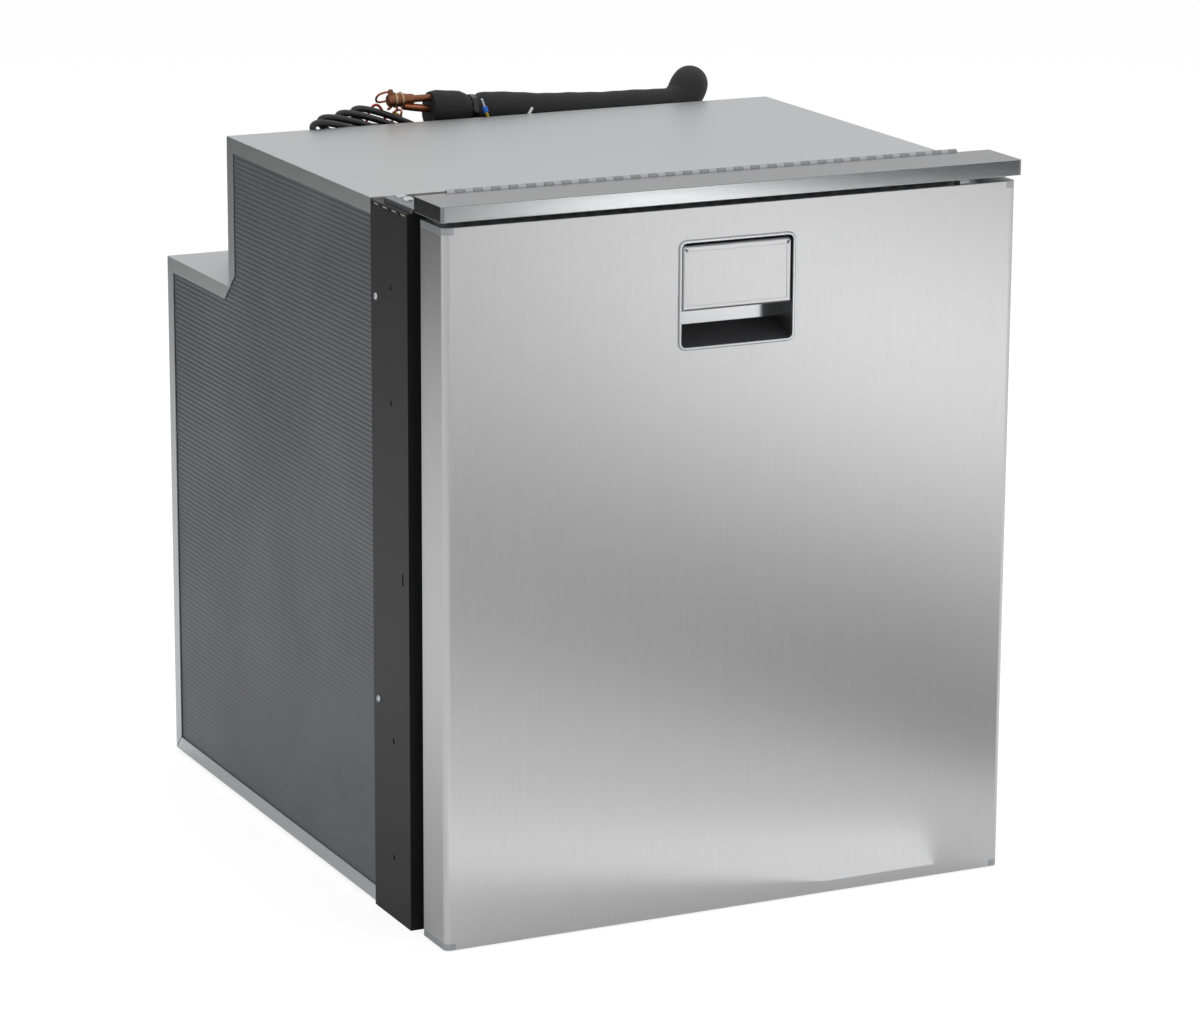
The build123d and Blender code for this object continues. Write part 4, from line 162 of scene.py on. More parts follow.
@dataclass(frozen=True)
class Finish:
    """One material: its common name, export slot, colour and surface."""

    title: str
    slot: str
    colour: str
    roughness: float
    metallic: float = 0.0
    grain: Grain = Grain.PLAIN
    coat: float = 0.0
    opacity: float = 1.0
    specular: float = 0.5

    def build(self) -> bpy.types.Material:
        """Makes the material.

        Returns:
            The finished material.
        """
        material = bpy.data.materials.new(self.title)
        material["slot"] = self.slot
        material.use_nodes = True
        tree = material.node_tree
        tree.nodes.clear()
        output = add_node(tree, "ShaderNodeOutputMaterial")
        shader = add_node(
            tree,
            "ShaderNodeBsdfPrincipled",
            Base_Color=linear(self.colour),
            Roughness=self.roughness,
            Metallic=self.metallic,
            Coat_Weight=self.coat,
            Specular_IOR_Level=self.specular,
            Alpha=self.opacity,
        )
        tree.links.new(shader.outputs["BSDF"], output.inputs["Surface"])
        if self.grain is Grain.CLOUDED:
            self._add_clouds(tree, shader)
        elif self.grain is not Grain.PLAIN:
            self._add_grain(tree, shader)
        return material

    def _shades(
        self, tree: bpy.types.NodeTree, factor: bpy.types.NodeSocket, low: float, high: float
    ) -> bpy.types.NodeSocket:
        """Mixes a darker and a lighter shade of the colour.

        Args:
            tree: The material's node tree.
            factor: The socket that gives the share of the lighter shade.
            low: The darker shade, as a share of the colour.
            high: The lighter shade, as a share of the colour.

        Returns:
            The socket that gives the mixed colour.
        """
        mix = add_node(tree, "ShaderNodeMix", {"data_type": "RGBA"}, {"Factor": factor})
        base = linear(self.colour)[:3]
        for name, share in (("A", low), ("B", high)):
            socket = next(socket for socket in mix.inputs if socket.type == "RGBA" and socket.name == name)
            socket.default_value = (*(min(1.0, value * share) for value in base), 1.0)
        return next(socket for socket in mix.outputs if socket.type == "RGBA")

    def _add_clouds(self, tree: bpy.types.NodeTree, shader: bpy.types.Node) -> None:
        """Clouds the lacquer of a sheet that went through the rolls with its paint on.

        Args:
            tree: The material's node tree.
            shader: Its shader.
        """
        place = add_node(tree, "ShaderNodeTexCoord")
        clouds = add_node(
            tree, "ShaderNodeTexNoise", links={"Vector": place.outputs["Object"]}, Scale=CLOUDS_PER_METRE, Detail=3.0
        )
        colour = self._shades(tree, clouds.outputs["Fac"], CLOUD_DARK, CLOUD_LIGHT)
        tree.links.new(colour, shader.inputs["Base Color"])

    def _add_grain(self, tree: bpy.types.NodeTree, shader: bpy.types.Node) -> None:
        """Adds the fine surface texture as changes of tone, roughness and height.

        Args:
            tree: The material's node tree.
            shader: Its shader.
        """
        texture = TEXTURES[self.grain]
        place = add_node(tree, "ShaderNodeTexCoord")
        mapping = add_node(tree, "ShaderNodeMapping", links={"Vector": place.outputs["Object"]}, Scale=texture.stretch)
        noise = add_node(
            tree,
            "ShaderNodeTexNoise",
            links={"Vector": mapping.outputs["Vector"]},
            Scale=texture.grains_per_mm / MM,
            Detail=4.0,
            Roughness=0.6,
        )
        colour = self._shades(tree, noise.outputs["Fac"], 1 - texture.tone, 1 + texture.tone)
        tree.links.new(colour, shader.inputs["Base Color"])
        rough = add_node(
            tree,
            "ShaderNodeMapRange",
            links={"Value": noise.outputs["Fac"]},
            To_Min=self.roughness - SMOOTHER,
            To_Max=self.roughness + ROUGHER,
        )
        tree.links.new(rough.outputs["Result"], shader.inputs["Roughness"])
        height = add_node(
            tree,
            "ShaderNodeBump",
            links={"Height": noise.outputs["Fac"]},
            Strength=texture.relief,
            Distance=RELIEF_DEPTH,
        )
        tree.links.new(height.outputs["Normal"], shader.inputs["Normal"])


class Material(Enum):
    """The appliance's finishes. Each comment says what it is, how it is made and what that gives the eye."""

    # Stainless steel sheet, belt-brushed upright: fine upright streaks that spread the light sideways
    STEEL_UP = Finish("brushed stainless steel, upright", "stainless", "C8C8C9", 0.30, 1.0, Grain.BRUSH_UP)
    # Stainless steel sheet, belt-brushed lengthwise: streaks from side to side under a tighter sheen
    STEEL_ALONG = Finish("brushed stainless steel, lengthwise", "stainless", "999A9C", 0.17, 1.0, Grain.BRUSH_ALONG)
    # Steel sheet, cold rolled and lacquered satin: an even, pale sheen
    SATIN_SHEET = Finish("satin coated sheet", "satin_sheet", "CCCDCE", 0.38, 1.0, Grain.ROLLED)
    # Steel sheet, lacquered dark and rolled into ribs: a grey that clouds from place to place
    DARK_SHEET = Finish("dark ribbed sheet", "dark_ribbed", "77787A", 0.5, 0.85, Grain.CLOUDED)
    # Steel, folded, powder coated and baked: a dull black with a pebbled skin
    BLACK_POWDER = Finish("black powder coat", "black_frame", "151416", 0.45, 0.0, Grain.POWDER, specular=0.35)
    # Polystyrene sheet, vacuum formed: a milky white with soft highlights
    WHITE_LINER = Finish("white polystyrene", "liner_white", "E6E8E9", 0.35, 0.0, Grain.MOULDED)
    # Polyurethane foam, blown in place: a matt cream full of cells
    FOAM = Finish("polyurethane foam", "insulation", "EFE8CF", 0.85, 0.0, Grain.CELLS)
    # Steel, zinc plated and passivated: a bright, slightly blue grey
    ZINC = Finish("zinc plated steel", "zinc", "C3C5C8", 0.30, 1.0, Grain.ROLLED)
    # Zinc, die cast and satin chrome plated: a smooth, dark silver
    SATIN_CHROME = Finish("satin chrome", "chrome_trim", "A8A9AB", 0.22, 1.0)
    # ABS, injection moulded against a fine texture: a dull black
    BLACK_PLASTIC = Finish("black moulded plastic", "black_plastic", "1B1B1D", 0.45, 0.0, Grain.MOULDED)
    # ABS, injection moulded against a polished tool: a dark grey with a gloss
    TRAY = Finish("tray plastic", "black_plastic", "3C3C3E", 0.28)
    # ABS, injection moulded against a fine texture: a dull mid grey
    GREY_PLASTIC = Finish("grey moulded plastic", "grey_plastic", "595A5D", 0.42, 0.0, Grain.MOULDED)
    # Polypropylene, injection moulded: a light grey with a waxy sheen
    BASKET_PLASTIC = Finish("light grey polypropylene", "basket_grey", "A9ADB1", 0.38, 0.0, Grain.MOULDED)
    # PVC seal profile, extruded and welded at its corners: a soft, dull grey
    SEAL = Finish("grey soft seal", "gasket_grey", "77797B", 0.55, 0.0, Grain.MOULDED)
    # Rubber, compression moulded: a flat black
    RUBBER = Finish("black rubber", "rubber_black", "161617", 0.60, 0.0, Grain.MOULDED)
    # Elastomer foam, extruded as a tube: a matt black skin with small cells
    FOAM_SLEEVE = Finish("black elastomer foam", "rubber_black", "1B1B1C", 0.66, 0.0, Grain.CELLS, specular=0.3)
    # Copper tube, drawn and slightly tarnished: a brownish pink that still shines
    COPPER = Finish("drawn copper", "copper", "A8694C", 0.30, 1.0, Grain.ROLLED)
    # Copper, browned by the brazing flame: darker and duller than the tube
    BROWNED = Finish("flame-browned copper", "copper", "85573F", 0.38, 0.9, Grain.ROLLED)
    # Brass filler, brazed on in rings: a pale yellow
    FILLER = Finish("brazing brass", "copper", "B9A184", 0.32, 1.0, Grain.ROLLED)
    # Steel strip, rolled and curled into knuckles: a mid-grey sheen
    HINGE_STEEL = Finish("rolled hinge steel", "zinc", "8E8F91", 0.36, 1.0, Grain.ROLLED)
    # The same strip on the fixed knuckles, in a lighter copy: a painted highlight
    HINGE_BRIGHT = Finish("bright hinge steel", "zinc", "A9AAAC", 0.34, 1.0, Grain.ROLLED)
    # The same strip between the knuckles, darkened as painted shade
    HINGE_SHADE = Finish("shaded hinge steel", "zinc", "4A4A4C", 0.42, 0.9, Grain.ROLLED)
    # ABS, injection moulded and painted silver: a match for the brushed front
    CAP = Finish("silver painted plastic", "grey_plastic", "A6A7A9", 0.34, 0.6)
    # Aluminium, rolled thin: a pale, even metal
    ALUMINIUM = Finish("rolled aluminium", "aluminium", "C9CBCD", 0.32, 1.0, Grain.ROLLED)
    # Steel can, pressed and lacquered: a deep black under a gloss
    CAN = Finish("black lacquered steel", "compressor_black", "17171A", 0.30, coat=0.5)
    # Polycarbonate, injection moulded: clear with sharp highlights
    LENS = Finish("clear polycarbonate", "lens_clear", "F2F5F7", 0.08, opacity=0.35)
    # PVC sheath, extruded: a black with a soft gloss
    SHEATH = Finish("black sheath", "lead_black", "1A1A1B", 0.38)
    # PVC core, extruded: a plain white
    CORE_WHITE = Finish("white core", "core_white", "D9D9D2", 0.40)
    # PVC core, extruded: a plain red
    CORE_RED = Finish("red core", "wire_red", "A8281E", 0.40)
    # PVC core, extruded: a brownish yellow
    CORE_YELLOW = Finish("yellow core", "core_white", "B89A2C", 0.40)
    # Nylon ferrule collar, moulded: a strong blue
    FERRULE = Finish("blue ferrule", "core_white", "1F63C4", 0.35)
    # Nylon cable tie, moulded: a black that catches the light
    NYLON = Finish("black nylon", "black_plastic", "0B0B0C", 0.22)


class Palette:
    """Builds each material once and hands it out."""

    def __init__(self) -> None:
        """Starts with no material made."""
        self._made: dict[Material, bpy.types.Material] = {}

    def get(self, wanted: Material) -> bpy.types.Material:
        """Finds a material, and makes it at its first use.

        Args:
            wanted: The finish.

        Returns:
            Its material.
        """
        if wanted not in self._made:
            self._made[wanted] = wanted.value.build()
        return self._made[wanted]


PALETTE = Palette()


def new_object(name: str, mesh: bpy.types.Mesh, finish: Material) -> bpy.types.Object:
    """Links a mesh as an object with one material.

    Args:
        name: The object's name.
        mesh: Its mesh, already in its place.
        finish: Its material.

    Returns:
        The object.
    """
    item = bpy.data.objects.new(name, mesh)
    mesh.materials.clear()
    mesh.materials.append(PALETTE.get(finish))
    bpy.context.scene.collection.objects.link(item)
    return item


def settle(item: bpy.types.Object) -> bpy.types.Object:
    """Bakes an object's modifiers or curve into a plain mesh object.

    Args:
        item: A mesh or curve object.

    Returns:
        The mesh object, under the same name.
    """
    graph = bpy.context.evaluated_depsgraph_get()
    mesh = bpy.data.meshes.new_from_object(item.evaluated_get(graph))
    name = item.name
    materials = [slot.material for slot in item.material_slots]
    bpy.data.objects.remove(item)
    mesh.materials.clear()
    for material in materials:
        mesh.materials.append(material)
    made = bpy.data.objects.new(name, mesh)
    bpy.context.scene.collection.objects.link(made)
    return made


def smooth(item: bpy.types.Object, degrees: float = 35.0) -> bpy.types.Object:
    """Shades an object smooth except at its sharp edges.

    Args:
        item: A mesh object.
        degrees: Edges that turn more than this stay sharp.

    Returns:
        The same object.
    """
    item.data.shade_smooth()
    item.data.set_sharp_from_angle(angle=math.radians(degrees))
    return item


def evened(item: bpy.types.Object) -> bpy.types.Object:
    """Turns the shading of an object's corners to its large flat faces.

    Args:
        item: A mesh object.

    Returns:
        The object with that shading baked in.
    """
    modifier = item.modifiers.new("even shading", "WEIGHTED_NORMAL")
    modifier.mode = "FACE_AREA"
    modifier.weight = 50
    modifier.keep_sharp = True
    return settle(item)


def bevelled(item: bpy.types.Object, width: float, segments: int = 2, degrees: float = 30.0) -> bpy.types.Object:
    """Rounds an object's edges.

    Args:
        item: A mesh object.
        width: The rounding, in millimetres.
        segments: Steps across it.
        degrees: Edges turning less than this stay as they are.

    Returns:
        The rounded object.
    """
    modifier = item.modifiers.new("rounding", "BEVEL")
    modifier.width = width * MM
    modifier.segments = segments
    modifier.limit_method = "ANGLE"
    modifier.angle_limit = math.radians(degrees)
    modifier.use_clamp_overlap = True
    modifier.harden_normals = False
    return settle(item)


def merged_shape(node: str) -> bmesh.types.BMesh:
    """Opens a CAD node's mesh for work, with its loose triangles joined at their corners.

    Args:
        node: The CAD node.

    Returns:
        The working mesh, which the caller frees.
    """
    work = bmesh.new()
    work.from_mesh(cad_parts[node].data)
    bmesh.ops.remove_doubles(work, verts=work.verts, dist=SAME_POINT)
    return work


def merged_copy(node: str) -> bpy.types.Mesh:
    """Copies a CAD node's mesh with its triangles joined into whole faces.

    Args:
        node: The CAD node.

    Returns:
        The new mesh.
    """
    work = merged_shape(node)
    bmesh.ops.dissolve_limit(work, angle_limit=FLAT_ANGLE, verts=work.verts, edges=work.edges)
    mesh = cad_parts[node].data.copy()
    work.to_mesh(mesh)
    work.free()
    return mesh


def refine(
    node: str, body: str, finish: Material, width: float = 0.4, segments: int = 2, degrees: float = 30.0
) -> bpy.types.Object:
    """Makes a rounded, smoothly shaded piece from a CAD node and shows it in the node's place.

    Args:
        node: The CAD node.
        body: The body that the piece moves with.
        finish: Its material.
        width: Rounding of its edges, in millimetres.
        segments: Steps across a rounding.
        degrees: Edges turning less than this stay as they are.

    Returns:
        The piece.
    """
    item = new_object(f"{node}_piece", merged_copy(node), finish)
    item = evened(smooth(bevelled(item, width, segments, degrees)))
    return place(item, body, node)


def paint_node(node: str, finish: Material) -> None:
    """Gives a CAD node that stays in view its material.

    Args:
        node: The CAD node.
        finish: Its material.
    """
    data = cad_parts[node].data
    data.materials.clear()
    data.materials.append(PALETTE.get(finish))


def paint_facing(item: bpy.types.Object, direction: Vector, finish: Material) -> None:
    """Gives the faces of a piece that look in one direction a second finish.

    Args:
        item: A mesh object.
        direction: Where those faces look.
        finish: Their material.
    """
    item.data.materials.append(PALETTE.get(finish))
    for face in item.data.polygons:
        if face.normal.dot(direction) > 0.9:
            face.material_index = len(item.data.materials) - 1


def place(item: bpy.types.Object, body: str, *nodes: str) -> bpy.types.Object:
    """Makes a piece ride a body and stand for CAD nodes, and reports it.

    Args:
        item: The finished piece.
        body: The body that it moves with.
        *nodes: The CAD nodes that it replaces.

    Returns:
        The same piece.
    """
    if nodes:
        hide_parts(*nodes)
    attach(item, body)
    faces = len(item.data.polygons) if item.type == "MESH" else 0
    LOG.info("%-28s %6d faces on %s", item.name, faces, body)
    return item


def merge_objects(name: str, items: list[bpy.types.Object]) -> bpy.types.Object:
    """Joins mesh objects into one, keeping their materials and shading.

    Args:
        name: The joined object's name.
        items: The objects to join.

    Returns:
        The joined object.
    """
    bpy.ops.object.select_all(action="DESELECT")
    for item in items:
        item.select_set(True)
    bpy.context.view_layer.objects.active = items[0]
    bpy.ops.object.join()
    items[0].name = name
    return items[0]


def route_curve(name: str, points: list[Vector], soft: int) -> bpy.types.Object:
    """Makes a bare spline whose control points are a route.

    Args:
        name: The object's name.
        points: The route, in metres.
        soft: Steps of the spline in each corner.

    Returns:
        The curve object, with no thickness.
    """
    data = bpy.data.curves.new(name, "CURVE")
    data.dimensions = "3D"
    data.resolution_u = soft
    spline = data.splines.new("NURBS")
    spline.points.add(len(points) - 1)
    for control, point in zip(spline.points, points):
        control.co = (*point, 1.0)
    spline.order_u = 3
    spline.use_endpoint_u = True
    item = bpy.data.objects.new(name, data)
    bpy.context.scene.collection.objects.link(item)
    return item


def spline_points(points: list[Vector], soft: int = 16) -> list[Vector]:
    """Reads the points along the smooth spline of a route.

    Args:
        points: The route, in metres.
        soft: Steps of the spline in each corner.

    Returns:
        The points of the spline, from end to end.
    """
    item = route_curve("route", points, soft)
    bpy.context.view_layer.update()
    mesh = bpy.data.meshes.new_from_object(item.evaluated_get(bpy.context.evaluated_depsgraph_get()))
    found = [vertex.co.copy() for vertex in mesh.vertices]
    bpy.data.objects.remove(item)
    bpy.data.meshes.remove(mesh)
    return found


def ring(centre: Vector, across: Vector, other: Vector, size: float, sides: int) -> list[Vector]:
    """Lays points round a centre.

    Args:
        centre: The middle of the ring.
        across: The way to the first point.
        other: The way to the point a quarter turn on.
        size: How far out the points lie, in lengths of these two.
        sides: How many points.

    Returns:
        The points in their order.
    """
    turns = [2 * math.pi * side / sides for side in range(sides)]
    return [centre + (across * math.cos(turn) + other * math.sin(turn)) * size for turn in turns]


def skin(name: str, rings: list[list[Vector]], finish: Material, degrees: float) -> bpy.types.Object:
    """Draws a closed round skin over rings of points.

    Args:
        name: The object's name.
        rings: The rings, from one end to the other, each with as many points.
        finish: The material.
        degrees: Edges that turn more than this stay sharp.

    Returns:
        The smoothly shaded object.
    """
    work = bmesh.new()
    loops = [[work.verts.new(point) for point in points] for points in rings]
    sides = len(rings[0])
    for near, far in zip(loops, loops[1:]):
        for side in range(sides):
            following = (side + 1) % sides
            work.faces.new((near[side], near[following], far[following], far[side]))
    work.faces.new(list(reversed(loops[0])))
    work.faces.new(loops[-1])
    mesh = bpy.data.meshes.new(name)
    work.to_mesh(mesh)
    work.free()
    return smooth(new_object(name, mesh, finish), degrees)


def sweep(name: str, path: list[Vector], radii: list[float], finish: Material, sides: int = 32) -> bpy.types.Object:
    """Sweeps a round section of changing radius along a path, closed at both ends.

    Args:
        name: The object's name.
        path: Points along the middle line, in metres.
        radii: The radius at each point, in metres.
        finish: Its material.
        sides: Corners of the section.

    Returns:
        The tube.
    """
    across = (path[1] - path[0]).normalized().orthogonal().normalized()
    rings = []
    for index, (point, radius) in enumerate(zip(path, radii)):
        along = (path[min(index + 1, len(path) - 1)] - path[max(index - 1, 0)]).normalized()
        across = (across - along * across.dot(along)).normalized()
        rings.append(ring(point, across, along.cross(across), radius, sides))
    return skin(name, rings, finish, TUBE_SHARP)


def lathe(
    name: str, profile: Pairs, start: Vector, along: Vector, finish: Material, sides: int = 40
) -> bpy.types.Object:
    """Turns a profile about a line.

    Args:
        name: The object's name.
        profile: Pairs of distance along the line and radius, in millimetres, from one end to the other.
        start: Where the line begins, in metres.
        along: Its direction.
        finish: The material.
        sides: Steps round the turn.

    Returns:
        The turned piece.
    """
    direction = along.normalized()
    across = direction.orthogonal().normalized()
    other = direction.cross(across)
    rings = [
        ring(start + direction * distance * MM, across, other, max(radius, SMALLEST_RADIUS) * MM, sides)
        for distance, radius in profile
    ]
    return skin(name, rings, finish, TURNED_SHARP)


def tube(
    name: str, points: list[Vector], diameter: float, finish: Material, soft: int = 10, keep: bool = False
) -> bpy.types.Object:
    """Makes a round tube or lead as a spline whose control points are its route.

    Args:
        name: The object's name.
        points: The route, in metres.
        diameter: In metres.
        finish: Its material.
        soft: Steps of the spline in each corner.
        keep: Whether it stays a curve.

    Returns:
        The tube.
    """
    item = route_curve(name, points, soft)
    item.data.bevel_depth = diameter / 2
    item.data.bevel_resolution = 5
    item.data.use_fill_caps = True
    item.data.materials.append(PALETTE.get(finish))
    return item if keep else smooth(settle(item), TUBE_SHARP)


def copper_tube(name: str, points: tuple[Point, ...], diameter: float) -> bpy.types.Object:
    """Makes a bent copper tube from its route and diameter in millimetres."""
    return tube(name, [Vector(point) * MM for point in points], diameter * MM, Material.COPPER, soft=8)


def slab(name: str, low: Vector, high: Vector, finish: Material, rounding: float) -> bpy.types.Object:
    """Makes a block with rounded edges.

    Args:
        name: The object's name.
        low: Its lowest corner, in metres.
        high: Its highest corner, in metres.
        finish: Its material.
        rounding: The rounding of its edges, in millimetres.

    Returns:
        The block.
    """
    work = bmesh.new()
    bmesh.ops.create_cube(work, size=1.0)
    size = high - low
    for vertex in work.verts:
        vertex.co = Vector(low[axis] + (vertex.co[axis] + 0.5) * size[axis] for axis in range(3))
    mesh = bpy.data.meshes.new(name)
    work.to_mesh(mesh)
    work.free()
    return evened(smooth(bevelled(new_object(name, mesh, finish), rounding, 3)))


def repeater() -> bpy.types.NodeTree:
    """Builds the node group that repeats one object along a straight line.

    Returns:
        A group with the inputs Count, Step, Source and Material.
    """
    tree = bpy.data.node_groups.new("repeat along a line", "GeometryNodeTree")
    wanted = (
        ("Count", "NodeSocketInt"),
        ("Step", "NodeSocketVector"),
        ("Source", "NodeSocketObject"),
        ("Material", "NodeSocketMaterial"),
    )
    for name, kind in wanted:
        tree.interface.new_socket(name, in_out="INPUT", socket_type=kind)
    tree.interface.new_socket("Geometry", in_out="OUTPUT", socket_type="NodeSocketGeometry")
    given = add_node(tree, "NodeGroupInput")
    line = add_node(
        tree,
        "GeometryNodeMeshLine",
        {"mode": "OFFSET", "count_mode": "TOTAL"},
        {"Count": given.outputs["Count"], "Offset": given.outputs["Step"]},
    )
    source = add_node(tree, "GeometryNodeObjectInfo", links={"Object": given.outputs["Source"]})
    copies = add_node(
        tree,
        "GeometryNodeInstanceOnPoints",
        links={"Points": line.outputs["Mesh"], "Instance": source.outputs["Geometry"]},
    )
    real = add_node(tree, "GeometryNodeRealizeInstances", links={"Geometry": copies.outputs["Instances"]})
    painted = add_node(
        tree,
        "GeometryNodeSetMaterial",
        links={"Geometry": real.outputs["Geometry"], "Material": given.outputs["Material"]},
    )
    add_node(tree, "NodeGroupOutput", links={"Geometry": painted.outputs["Geometry"]})
    return tree


REPEATER = repeater()


def repeated(name: str, source: bpy.types.Object, count: int, step: Vector, finish: Material) -> bpy.types.Object:
    """Repeats an object along a line and keeps only the row.

    Args:
        name: The row's name.
        source: The first of the row, already in its place.
        count: How many.
        step: From each to the next, in metres.
        finish: Their material.

    Returns:
        The row as one mesh object.
    """
    row = new_object(name, bpy.data.meshes.new(name), finish)
    modifier = row.modifiers.new("row", "NODES")
    modifier.node_group = REPEATER
    values = {"Count": count, "Step": step, "Source": source, "Material": PALETTE.get(finish)}
    for socket in REPEATER.interface.items_tree:
        if socket.in_out == "INPUT":
            modifier[socket.identifier] = values[socket.name]
    row = settle(row)
    bpy.data.objects.remove(source)
    return smooth(row)


@dataclass
class CabinetShell:
    """The insulated box with its sheets, its liner and the black frame."""

    sheet_rounding: float = 0.25
    frame_rounding: float = 0.5
    liner_rounding: float = 0.4
    cup_rounding: float = 0.2
    pad_rounding: float = 0.8
    # The ribs' height in the solid and as shown, and the line across them at the height of the rear step
    solid_rib_height: float = 0.5
    rib_height: float = 0.28
    seam_height: float = 427.2
    seam_reach: float = 0.6
    seam_share: float = 0.4
    tolerance: float = 0.05
    # Edges of a side sheet that turn more than this stay sharp, in degrees, so that every rib shows
    rib_sharp: float = 5.0

    def build(self) -> None:
        """Makes every piece of the shell."""
        refine("cabinet_wrap", "cabinet", Material.SATIN_SHEET, self.sheet_rounding)
        for side in ("left", "right"):
            piece = new_object(f"side_panel_{side}_piece", merged_copy(f"side_panel_{side}"), Material.DARK_SHEET)
            self._shape_ribs(piece.data)
            place(smooth(piece, self.rib_sharp), "cabinet", f"side_panel_{side}")
        refine("mounting_frame", "cabinet", Material.BLACK_POWDER, self.frame_rounding)
        refine("inner_liner", "cabinet", Material.WHITE_LINER, self.liner_rounding)
        refine("latch_cup", "cabinet", Material.BLACK_PLASTIC, self.cup_rounding)
        refine("rear_pads", "cabinet", Material.RUBBER, self.pad_rounding)
        paint_node("foam_core", Material.FOAM)

    def _shape_ribs(self, mesh: bpy.types.Mesh) -> None:
        """Makes a side sheet's ribs as shallow as they look, and closes the flat line across them at the step.

        Args:
            mesh: The sheet's mesh, which is changed.
        """
        crest = max(abs(vertex.co.x) for vertex in mesh.vertices)
        valley = crest - self.solid_rib_height * MM
        near = self.tolerance * MM
        for vertex in mesh.vertices:
            at_seam = abs(vertex.co.z - self.seam_height * MM) < self.seam_reach * MM
            if abs(abs(vertex.co.x) - crest) < near:
                vertex.co.x = math.copysign(valley + self.rib_height * MM, vertex.co.x)
            elif at_seam and abs(abs(vertex.co.x) - valley) < near:
                vertex.co.x = math.copysign(valley + self.seam_share * self.rib_height * MM, vertex.co.x)
        work = bmesh.new()
        work.from_mesh(mesh)
        bmesh.ops.dissolve_limit(work, angle_limit=math.radians(1), verts=work.verts, edges=work.edges)
        work.to_mesh(mesh)
        work.free()
        # The solid's own shading would keep the old ribs in the light
        if "custom_normal" in mesh.attributes:
            mesh.attributes.remove(mesh.attributes["custom_normal"])


@dataclass
class FrameFasteners:
    """The bright screws in the frame's sides and on the hinge brackets."""

    head_radius: float = 2.7
    head_height: float = 1.6
    pan_radius: float = 4.0
    pan_height: float = 2.7
    bracket_rounding: float = 0.35
    stop_rounding: float = 0.8
    # A domed head down to its recess, as shares of the height and the radius
    head_shape: Pairs = ((0.0, 1.0), (0.35, 1.0), (0.7, 0.86), (0.92, 0.55), (1.0, 0.25), (0.55, 0.2))

    def build(self) -> None:
        """Makes the screws from the places of the CAD ones, then the brackets and the stops."""
        self._heads("frame_screws", self.head_radius, self.head_height, RIGHT)
        self._heads("bracket_screws", self.pan_radius, self.pan_height, UP)
        for side in ("left", "right"):
            refine(f"hinge_bracket_{side}", "cabinet", Material.HINGE_STEEL, self.bracket_rounding)
        refine("flap_stops", "cabinet", Material.RUBBER, self.stop_rounding)

    def _heads(self, node: str, radius: float, height: float, outward: Vector) -> None:
        """Turns a domed head with a recess for each solid of a CAD node.

        Args:
            node: The CAD node of the screws.
            radius: Of a head, in millimetres.
            height: Of a head, in millimetres.
            outward: Where the heads point, on the right of the appliance.
        """
        profile = tuple((height * up, radius * out) for up, out in self.head_shape)
        made = [
            lathe(f"{node}_head", profile, seat, outward * side, Material.ZINC, sides=28)
            for seat, side in self._places(node, outward)
        ]
        place(merge_objects(f"{node}_piece", made), "cabinet", node)

    @staticmethod
    def _places(node: str, outward: Vector) -> list[tuple[Vector, int]]:
        """Finds the seat and the side of each loose part of a CAD node.

        Args:
            node: The CAD node of the screws.
            outward: Where the heads point, on the right of the appliance.

        Returns:
            For each screw its seat and 1, or -1 where it points the other way.
        """
        work = merged_shape(node)
        seen: set[int] = set()
        places = []
        for first in work.verts:
            if first.index in seen:
                continue
            stack = [first]
            part = []
            seen.add(first.index)
            while stack:
                vertex = stack.pop()
                part.append(vertex.co.copy())
                for edge in vertex.link_edges:
                    other = edge.other_vert(vertex)
                    if other.index not in seen:
                        seen.add(other.index)
                        stack.append(other)
            low = Vector(min(point[axis] for point in part) for axis in range(3))
            high = Vector(max(point[axis] for point in part) for axis in range(3))
            seat = (low + high) / 2
            side = -1 if outward.x and seat.x < 0 else 1
            if outward.x:
                seat.x = low.x if side > 0 else high.x
            else:
                seat.z = low.z
            places.append((seat, side))
        work.free()
        return places


@dataclass
class FrontPanel:
    """The drawer's front: brushed skin, end caps, foam, liner and seal."""

    skin_rounding: float = 0.3
    cap_rounding: float = 0.3
    liner_rounding: float = 0.8
    seal_rounding: float = 1.1

    def build(self) -> None:
        """Makes every piece of the panel."""
        refine("front_skin", "drawer", Material.STEEL_UP, self.skin_rounding, 3)
        refine("end_cap_top", "drawer", Material.CAP, self.cap_rounding)
        refine("end_cap_bottom", "drawer", Material.CAP, self.cap_rounding)
        refine("door_liner", "drawer", Material.WHITE_LINER, self.liner_rounding, 3)
        refine("door_gasket", "drawer", Material.SEAL, self.seal_rounding, 3)
        paint_node("door_foam", Material.FOAM)


